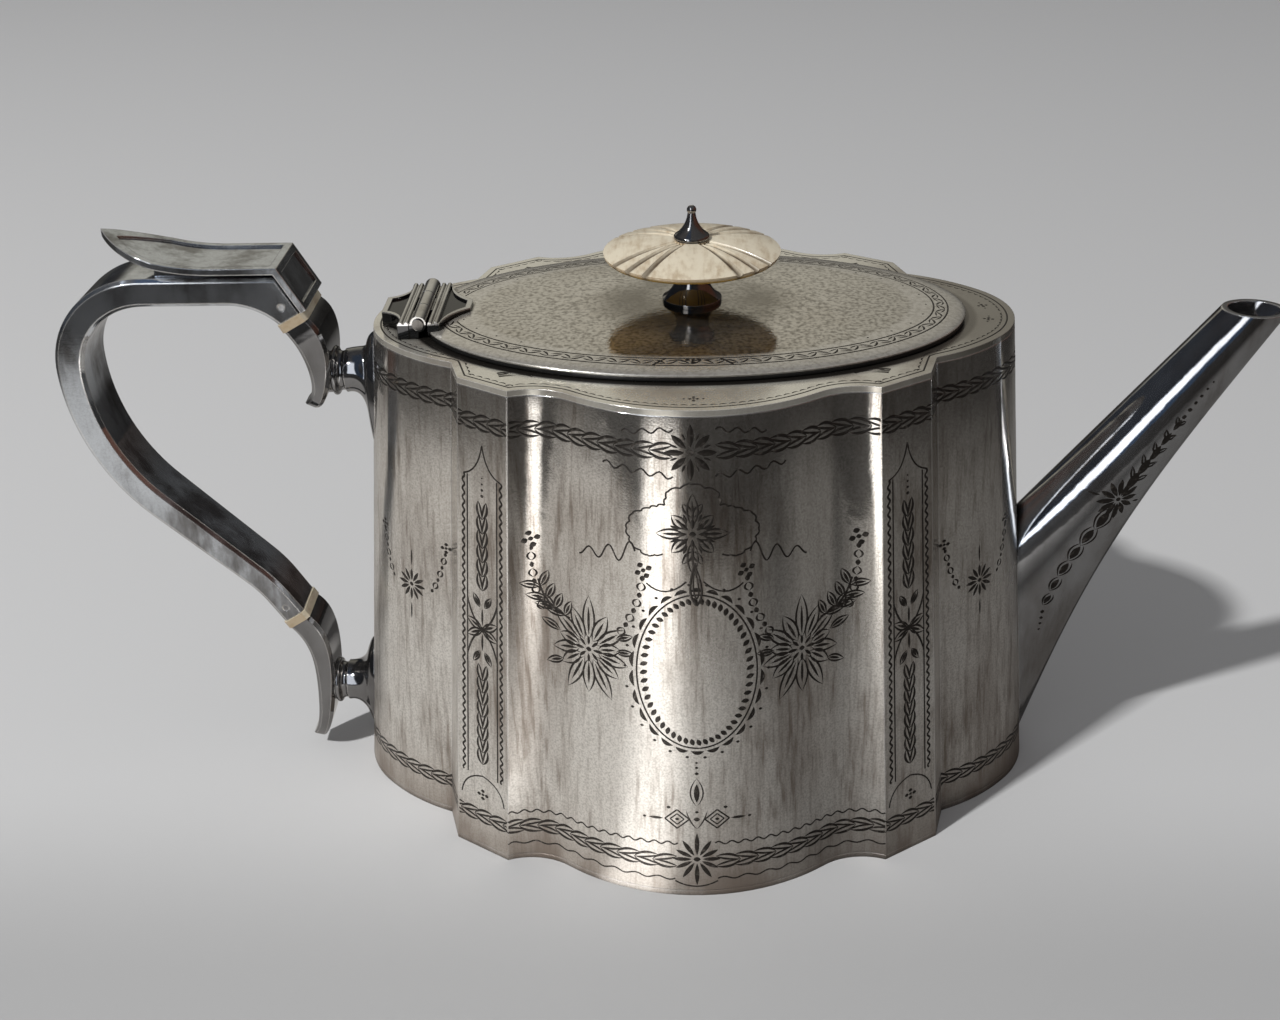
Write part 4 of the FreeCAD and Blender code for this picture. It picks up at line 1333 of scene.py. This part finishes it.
    def _lozenges(self) -> list[Cut]:
        """Motif above the lower band: two lozenges, an oval petal and punch marks.

        Returns:
            The cuts.
        """
        cuts: list[Cut] = []
        level, u0 = self.lozenge_level, self.bud_walk
        for u in self.lozenges:
            out = math.copysign(1.0, u)
            for size, width in ((2.3, 0.36), (1.3, 0.3)):
                corners = [(u + size, level), (u, level + size), (u - size, level), (u, level - size)]
                for p, q in zip(corners, corners[1:] + corners[:1]):
                    cuts.append(Motifs.thread(line(p, q, 3), width))
            cuts.append(Cut(line((u + out * 2.6, level), (u + out * 5.4, level)), 0.7))
            for du, dv, radius in ((0.0, 0.0, 0.4), (6.2, 0.0, 0.35), (1.6, 2.8, 0.4)):
                cuts.append(Motifs.dot(u + out * du, level + dv, radius))
        for side in (-1.0, 1.0):
            cuts.append(Cut(bend((u0, 22.4), (u0 + side * 2.4, 25.6), (u0, 29.2)), 0.34))
            cuts.append(Cut(bend((u0, 16.8), (u0 + side * 1.4, 18.4), (u0 + side * 2.0, 21.4)), 0.34))
        cuts.append(Cut(line((u0, 23.4), (u0, 27.8), 6), 1.2))
        for v, radius in ((30.4, 0.4), (31.8, 0.34), (33.0, 0.28), (level, 0.6), (21.0, 0.35)):
            cuts.append(Motifs.dot(u0, v, radius))
        return cuts

    def _pilasters(self) -> list[Cut]:
        """Bordered panel with a leaf chain and a tied bow on each pilaster.

        Returns:
            The cuts.
        """
        marks = self.plan.marks
        middle = (marks["arris"] + marks["pilaster"]) / 2
        half = (marks["pilaster"] - marks["arris"]) / 2 - self.pilaster_margin
        inner = half - 1.0
        low, high = self.pilaster_span
        panel = placed(Motifs.floret(0.95), 0.0, 14.2) + placed(self._bow(), 0.0, self.bow_level)
        for side in (-1.0, 1.0):
            panel.append(Motifs.wave((side * half, low), (side * half, high), 2.0, 0.28, Motifs.fine))
            panel.append(Motifs.thread(line((side * inner, low), (side * inner, high), 24)))
            for curve in (bend((side * half, high), (side * 1.0, high + 1.0), (0.0, high + 7.0)),
                          bend((side * (half + 0.6), 13.0), (side * half, 18.0), (0.0, low))):
                panel.append(Motifs.thread(curve, 0.36))
        for start, end in self.pilaster_chains:
            panel += placed(Motifs.laurel(start, end, 0.0, 3.4, 3.0), 0.0, 0.0, 90.0)
        panel += [Motifs.dot(0.0, 86.0 + 1.3 * k, 0.42 - 0.07 * k) for k in range(4)]
        return placed(panel, middle, 0.0) + placed(panel, -middle, 0.0)

    @staticmethod
    def _bow() -> list[Cut]:
        """Tied bow with four leaves and four tails, about its knot.

        Returns:
            The cuts.
        """
        bow = [Motifs.dot(0.0, 0.0, 0.8)]
        for turn in (28.0, -28.0):
            bow += both(Motifs.leaf(4.4, 1.7, turn))
        for side in (-1.0, 1.0):
            for up in (-1.0, 1.0):
                tail = bend((side * 4.0, up * 8.6), (side * 3.4, up * 2.6), (0.0, 0.0))
                bow.append(Cut(tail, Motifs.fine))
                bow += placed(Motifs.leaf(3.4, 1.1, up * (90.0 - side * 30.0)), side * 0.6, up * 5.2)
            bow.append(Motifs.petal(1.0, 5.0, 0.6, 90.0 * side))
        return bow

    def _ends(self) -> list[Cut]:
        """Daisy on a beaded swag on each end panel.

        Returns:
            The cuts.
        """
        u0, v0 = self.end_daisy
        half = placed(Motifs.daisy(12, 0.9, 3.8, 0.85), u0, v0)
        half += placed([Motifs.petal(4.6, 8.6, 0.5, angle) for angle in (90.0, -90.0)], u0, v0)
        for far in self.end_swags:
            near = u0 + math.copysign(4.6, far - u0)
            swag = bend((far, 66.0), (far + (u0 - far) * 0.25, 56.0), (near, 55.6))
            half += Motifs.beads(swag, 1.7, 0.48)
        for spot in self.end_florets:
            half += placed(Motifs.floret(0.9), *spot)
        return both(half)

    def _top_edge(self) -> list[Cut]:
        """Line and scallops inside the edge of the top plate, with small flowers.

        Returns:
            The cuts.
        """
        end = self.plan.marks["end"]
        cuts = [Motifs.thread(line((-end, self.edge_line), (end, self.edge_line), self.edge_parts))]
        for k in range(-self.edge_scallops, self.edge_scallops + 1):
            u = k * self.edge_pitch
            cuts.append(Cut(bend((u - 0.9, 2.5), (u, 3.2), (u + 0.9, 2.5), 4), Motifs.hair))
        for u, v in self.edge_florets:
            cuts += placed(Motifs.floret(0.85), u, v)
            cuts += [Motifs.dot(u + side * 2.2, v, 0.3) for side in (-1.0, 1.0)]
        return cuts


@dataclass
class Lid:
    """Oval cover and bezel with the border engraved round the cover, in millimetres and degrees."""

    silver: bpy.types.Material
    cut: bpy.types.Material
    half_length: float = LID_HALF_LENGTH
    half_width: float = LID_HALF_WIDTH
    height: float = 112.0
    border: float = 3.6
    border_width: float = 3.0
    border_end: float = 165.0
    border_parts: int = 240
    leaf_end: float = 166.0
    leaf_pitch: float = 2.6
    leaf_lift: float = 0.8
    flower_inset: float = 6.0

    def build(self) -> None:
        """Dress the nodes and engrave the cover."""
        for node in ("lid_cover", "lid_bezel"):
            dress(node, self.silver)
        engraver = Engraver("lid_cover", Body.LID, Slot.SILVER, self.cut)
        engraver.piece("lid_border", self._border(), self._rim)
        engraver.piece("lid_flower", self._flower(), lambda u, v: Vector((u, v, self.height)) * MM)

    def _rim(self, u: float, v: float) -> Vector:
        """Place a flat point on the cover.

        Args:
            u: angle round the rim, in degrees from the spout.
            v: distance in from the rim.

        Returns:
            The point in metres.
        """
        angle = math.radians(u)
        x, y = (self.half_length - v) * math.cos(angle), (self.half_width - v) * math.sin(angle)
        return Vector((x, y, self.height)) * MM

    def _turns(self) -> list[float]:
        """Angles that are a leaf apart along the rim, clear of the hinge.

        Returns:
            The angles in degrees.
        """
        angles, angle = [], -self.leaf_end
        while angle < self.leaf_end:
            angles.append(angle)
            a = math.radians(angle)
            speed = math.hypot(self.half_length * math.sin(a), self.half_width * math.cos(a))
            angle += math.degrees(self.leaf_pitch / speed)
        return angles

    def _border(self) -> list[Cut]:
        """Two lines with leaves and punch marks between and inside them.

        Returns:
            The cuts.
        """
        cuts: list[Cut] = []
        for v in (self.border, self.border + self.border_width):
            cuts.append(Motifs.thread(line((-self.border_end, v), (self.border_end, v), self.border_parts)))
        middle, inside = self.border + self.border_width / 2, self.border + 4.6
        turns = self._turns()
        for k, (a, b) in enumerate(zip(turns[:-1], turns[1:])):
            lift = self.leaf_lift if k % 2 else -self.leaf_lift
            tip, half = (b, middle + lift), (a + b) / 2
            cuts.append(Cut(bend((a, middle - lift), (half, middle - lift), tip, 5), Motifs.fine))
            cuts.append(Cut(bend((a, middle + lift * 0.2), (half, middle + lift), tip, 5), Motifs.hair))
            if k % 3 == 0:
                reach = (b - a) * 0.12
                cuts.append(Cut(line((a - reach, inside), (a + reach, inside), 4), Motifs.fine))
        return cuts

    def _flower(self) -> list[Cut]:
        """Half-round frame with a small flower at the front and at the back of the cover.

        Returns:
            The cuts.
        """
        cuts: list[Cut] = []
        for way in (-1.0, 1.0):
            v = way * (self.half_width - self.flower_inset)
            cuts += placed(Motifs.floret(1.1), 0.0, v)
            petals = [Motifs.petal(2.0, 4.0, 0.55, angle) for angle in (0.0, 60.0, 120.0, 180.0)]
            cuts += placed(petals, 0.0, v)
            frame = bend((-8.0, v + way * 2.0), (0.0, v - way * 8.0), (8.0, v + way * 2.0), 12)
            cuts.append(Motifs.thread(frame, Motifs.fine))
        return cuts


@dataclass
class Spout:
    """Straight tapering spout with a beaded chain and a daisy on each side, in millimetres and degrees."""

    silver: bpy.types.Material
    cut: bpy.types.Material
    reach: float = 9.0
    lean: float = 57.0
    daisy: Flat = (94.3, 68.0)
    below: tuple[Flat, Flat, Flat] = ((80.8, 41.0), (83.0, 52.0), (91.4, 63.0))
    above: tuple[Flat, Flat] = ((97.0, 72.4), (105.2, 85.6))

    def build(self) -> None:
        """Dress the spout and engrave its two sides."""
        dress("spout", self.silver)
        engraver = Engraver("spout", Body.POT, Slot.POLISHED, self.cut)
        for name, side in (("spout_chain_front", -1.0), ("spout_chain_back", 1.0)):
            engraver.piece(name, self._chain(), self._side(side))

    def _side(self, side: float) -> Place:
        """Placing on one side of the spout, length along X and height."""
        return lambda u, v: Vector((u, side * self.reach, v)) * MM

    def _chain(self) -> list[Cut]:
        """Beads below and above the daisy, smaller towards the lip, with side leaves.

        Returns:
            The cuts.
        """
        flower = Motifs.daisy(12, 1.0, 5.3, 1.25)
        flower += [Motifs.petal(5.0, 8.4, 0.55, self.lean + turn) for turn in (-76.0, 104.0)]
        cuts = placed(flower, *self.daisy)
        for k, spot in enumerate(bend(*self.below, 16)[1::3]):
            size = 0.85 + 0.13 * k
            cuts += placed([Motifs.petal(-1.5 * size, 1.5 * size, 1.5 * size, self.lean)], *spot)
            for side in (-1.0, 1.0):
                curl = bend((-2.0 * size, 0.0), (0.0, side * 2.6 * size), (2.0 * size, side * 0.6))
                cuts += placed([Cut(curl, Motifs.fine)], *spot, self.lean)
        for k, spot in enumerate(line(*self.above, 8)[::2]):
            size = 1.6 - 0.17 * k
            cuts += placed([Motifs.petal(-1.5 * size, 1.7 * size, 1.3 * size, self.lean)], *spot)
            for side in (-1.0, 1.0):
                cuts += placed(Motifs.leaf(2.6 * size, 0.8, self.lean + side * 46.0, False), *spot)
        cuts += [Motifs.dot(80.4, 39.0 - 1.7 * k, 0.6 - 0.09 * k) for k in range(4)]
        cuts += [Motifs.dot(106.4 + 1.05 * k, 87.6 + 1.6 * k, 0.64 - 0.07 * k) for k in range(6)]
        return cuts


@dataclass
class Finial:
    """Turned stem, ribbed button and pointed tip."""

    dark: bpy.types.Material
    ivory: bpy.types.Material
    pin: bpy.types.Material

    def build(self) -> None:
        """Dress the nodes."""
        # Stem and tip take silver painted dark, a painted dark reflection.
        for node in ("finial_stem", "finial_tip"):
            dress(node, self.dark)
        dress("finial_button", self.ivory)
        for node in ("finial_stud", "finial_washer", "finial_nut"):
            dress(node, self.pin)


@dataclass
class Hinge:
    """Two shaped leaves on one pin."""

    silver: bpy.types.Material
    pin: bpy.types.Material

    def build(self) -> None:
        """Dress the nodes."""
        for node in ("hinge_body_leaf", "hinge_lid_leaf"):
            dress(node, self.silver)
        dress("hinge_pin", self.pin)


@dataclass
class Handle:
    """Loop with its thumb piece, sockets, escutcheons and insulating rings."""

    silver: bpy.types.Material
    sockets_painted_dark: bpy.types.Material
    ivory: bpy.types.Material
    pin: bpy.types.Material

    def build(self) -> None:
        """Dress the nodes."""
        for node in ("handle_loop", "thumb_piece"):
            dress(node, self.silver)
        # Sockets and escutcheons take silver painted dark, a painted dark reflection.
        for node in ("upper_socket", "lower_socket", "upper_escutcheon", "lower_escutcheon"):
            dress(node, self.sockets_painted_dark)
        for node in ("upper_insulator", "lower_insulator"):
            dress(node, self.ivory)
        for node in ("upper_insulator_pins", "lower_insulator_pins"):
            dress(node, self.pin)


@dataclass(frozen=True)
class Patch:
    """Tone that mirrors see in one part of the surroundings.

    Each window gives an axis of the direction, the value that counts as nothing and the one that counts
    as all.
    """

    tone: Colour
    windows: tuple[tuple[Axis, float, float], ...]
    share: float = 1.0


PALE_SCREEN = Patch((0.44, 0.42, 0.36), (
    (Axis.Y, 0.2, 0.6), (Axis.Z, 0.80, 0.45), (Axis.Z, 0.10, 0.24), (Axis.X, 0.44, 0.02),
    (Axis.X, -0.6, -0.4)))
DARK_FRONT = Patch((0.02, 0.02, 0.022), ((Axis.Y, -0.45, -0.8), (Axis.Z, 0.5, 0.25)), 0.6)
COOL_SIDE = Patch((0.045, 0.075, 0.13), ((Axis.X, 0.0, -0.12), (Axis.X, -0.42, -0.32), (Axis.Y, 0.3, 0.0)))
DARK_LEFT = Patch((0.018, 0.022, 0.03), ((Axis.X, -0.40, -0.50), (Axis.Z, 0.8, 0.5)))
WARM_RIGHT = Patch((0.13, 0.055, 0.035), ((Axis.X, 0.45, 0.8), (Axis.Z, 0.75, 0.4)))
BRIGHT_STRIP = Patch((2.4, 2.55, 2.8), (
    (Axis.X, -0.54, -0.50), (Axis.X, -0.26, -0.30), (Axis.Y, 0.2, 0.0), (Axis.Z, 0.0, 0.04),
    (Axis.Z, 0.85, 0.75)))


@dataclass
class Studio:
    """Pale floor, one small key lamp, and soft surroundings for the silver to reflect."""

    floor: bpy.types.Material
    eye: Triple = (-1.21, -333.96, 235.95)
    pitch: float = 27.36
    yaw: float = -1.88
    roll: float = -1.32
    focal_pixels: float = 1650.0
    image_width: int = 1280
    sensor_width: float = 36.0
    clip_start: float = 0.01
    floor_half: float = 4.0
    key_way: Triple = (-0.50, -0.417, 0.759)
    key_distance: float = 2.5
    key_size: float = 0.12
    key_power: float = 48.0
    ambient: Colour = (0.27, 0.27, 0.275)
    sky_window: Flat = (-0.1, 0.9)
    low_sky: Colour = (0.03, 0.028, 0.025)
    high_sky: Colour = (0.10, 0.10, 0.105)
    patches: tuple[Patch, ...] = (PALE_SCREEN, DARK_FRONT, COOL_SIDE, DARK_LEFT, WARM_RIGHT, BRIGHT_STRIP)

    def build(self) -> None:
        """Make the camera, floor, lamp and world."""
        self._camera()
        self._floor()
        self._key()
        self._world()

    def _camera(self) -> None:
        """Camera at the viewing angle of the photograph."""
        pitch, yaw, roll = (math.radians(a) for a in (self.pitch, self.yaw, self.roll))
        ahead = Vector((math.sin(yaw) * math.cos(pitch), math.cos(yaw) * math.cos(pitch), -math.sin(pitch)))
        across = Vector((math.cos(yaw), -math.sin(yaw), 0.0))
        above = across.cross(ahead)
        right = across * math.cos(roll) + above * math.sin(roll)
        up = above * math.cos(roll) - across * math.sin(roll)
        camera = bpy.data.objects.new("camera", bpy.data.cameras.new("camera"))
        camera.data.sensor_width = self.sensor_width
        camera.data.lens = self.sensor_width * self.focal_pixels / self.image_width
        camera.data.clip_start = self.clip_start
        camera.matrix_world = Matrix((right, up, -ahead)).transposed().to_4x4()
        camera.location = Vector(self.eye) * MM
        bpy.context.scene.collection.objects.link(camera)
        bpy.context.scene.camera = camera

    def _floor(self) -> None:
        """Large flat floor under the base."""
        h = self.floor_half
        mesh = bpy.data.meshes.new("floor")
        mesh.from_pydata([(-h, -h, 0.0), (h, -h, 0.0), (h, h, 0.0), (-h, h, 0.0)], [], [(0, 1, 2, 3)])
        floor = bpy.data.objects.new("floor", mesh)
        floor.data.materials.append(self.floor)
        bpy.context.scene.collection.objects.link(floor)

    def _key(self) -> None:
        """Small square lamp at the front left."""
        way = Vector(self.key_way).normalized()
        lamp = bpy.data.lights.new("key", "AREA")
        lamp.size = self.key_size
        lamp.energy = self.key_power
        key = bpy.data.objects.new("key", lamp)
        key.location = way * self.key_distance
        key.rotation_euler = way.to_track_quat("Z", "Y").to_euler()
        bpy.context.scene.collection.objects.link(key)

    def _world(self) -> None:
        """Even light for matt surfaces, and a dim studio with pale screens for mirror-like ones."""
        world = bpy.data.worlds.new("studio")
        world.use_nodes = True
        bpy.context.scene.world = world
        g = Graph(world.node_tree)
        axes = g.parts(g.node("ShaderNodeTexCoord", output="Generated"))
        tone = g.mixed(axes[Axis.Z.value].clamped(*self.sky_window), self.low_sky, self.high_sky)
        for patch in self.patches:
            shown: Value | float = patch.share
            for axis, low, high in patch.windows:
                shown = shown * axes[axis.value].clamped(low, high)
            tone = g.mixed(shown, tone, patch.tone)
        path = g.node("ShaderNodeLightPath", output="Is Glossy Ray")
        seen = g.mixed(path, self.ambient, tone)
        back = g.node("ShaderNodeBackground", {}, {"Color": seen, "Strength": 1.0})
        g.node("ShaderNodeOutputWorld", {}, {"Surface": back})


LID_OVAL = (LID_HALF_LENGTH * MM, LID_HALF_WIDTH * MM)
AGED_SILVER = SilverFinish(
    "aged_silver", (0.78, 0.75, 0.70), (0.26, 0.215, 0.18), tarnish_share=0.65, streaks=0.65, grain=0.42,
    polish=0.07, foot_rough=0.24, foot_matt=0.24, foot_stain=0.017)
# The top plate's silver is a lighter, more matt copy of the wall's: painted light on the upward-facing
# plate.
TOP_SILVER = SilverFinish(
    # The top plate turns darker towards the spout.
    "top_silver", (0.82, 0.79, 0.70), matt_share=0.30, streaks=0.2, edge=0.0002, spout_darkening=(0.030, 0.062),
    # Dark ring just outside the lid's outline: a painted shadow of the lid's rim.
    oval=LID_OVAL, oval_shares=(1.055, 1.035), oval_tint=(0.04, 0.035, 0.03))
# The lid rim's side face below seam_height is painted dark, a painted shadow.
LID_SILVER = SilverFinish(
    "lid_silver", tarnish=(0.48, 0.42, 0.34), polish=0.06, dulling=0.05, tarnish_share=0.5, streaks=0.1,
    # hub: painted shadow of the finial button round its stem.
    grain=0.85, matt_share=0.04, grain_scale=1100.0, hammer=0.25, seam_height=0.1110, hub=(0.024, 0.010),
    oval=LID_OVAL, oval_shares=(0.78, 0.82), oval_share=0.6, oval_dulling=0.24)
SPOUT_SILVER = SilverFinish(
    "polished_silver", (0.68, 0.69, 0.71), (0.26, 0.23, 0.21), polish=0.03, dulling=0.06, streaks=0.2,
    grain=0.12, matt_share=0.02)
LOOP_SILVER = SilverFinish(
    "loop_silver", (0.66, 0.70, 0.75), (0.10, 0.09, 0.085), polish=0.04, dulling=0.07, tarnish_share=0.9,
    # The handle loop's edges take the full bright colour: partly wear, partly a painted highlight.
    cloud_scale=110.0, streaks=0.2, grain=0.2, edge=0.0004, edge_wear_and_highlight_share=1.0)
# Sockets and escutcheons: silver painted dark, standing in for the dark surroundings they reflect.
SOCKET_SILVER_PAINTED_DARK = SilverFinish(
    "socket_silver_painted_dark", (0.25, 0.25, 0.255), (0.07, 0.062, 0.058), polish=0.03, dulling=0.06, streaks=0.1,
    grain=0.1, edge=0.00025)
HINGE_SILVER = SilverFinish(
    "hinge_silver", (0.72, 0.71, 0.69), (0.30, 0.27, 0.24), polish=0.07, dulling=0.09, streaks=0.1,
    # seam_height: the recessed leaf panels turn darker, partly tarnish and partly painted shade.
    grain=0.1, edge=0.0002, seam_height=0.11295)
# Finial stem and tip: silver painted dark, standing in for the dark surroundings it reflects.
STEM_SILVER_PAINTED_DARK = SilverFinish(
    "dark_silver", (0.34, 0.33, 0.32), (0.14, 0.125, 0.11), polish=0.05, dulling=0.06, streaks=0.1,
    grain=0.05, edge=0.00015)
PIN_SILVER = SilverFinish("pin_silver", (0.20, 0.19, 0.18), (0.08, 0.07, 0.06), streaks=0.1, edge=0.0001)


def main() -> None:
    """Dress the frame, engrave it and set up the studio."""
    logging.basicConfig(level=logging.INFO, format="%(name)s: %(message)s")
    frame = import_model()
    NODES.update(frame["nodes"])
    bpy.context.scene.view_settings.view_transform = "Standard"
    pin = PIN_SILVER.material()
    ivory = IvoryFinish("ivory").material()
    cut = CutFinish("engraved_cut").material()
    parts = (
        PotBody(BodyPlan(), AGED_SILVER.material(), TOP_SILVER.material(), cut),
        Spout(SPOUT_SILVER.material(), cut),
        Lid(LID_SILVER.material(), cut),
        Finial(STEM_SILVER_PAINTED_DARK.material(), ivory, pin),
        Hinge(HINGE_SILVER.material(), pin),
        Handle(LOOP_SILVER.material(), SOCKET_SILVER_PAINTED_DARK.material(), ivory, pin),
        Studio(FloorFinish("floor").material()))
    for part in parts:
        part.build()


if __name__ == "__main__":
    main()
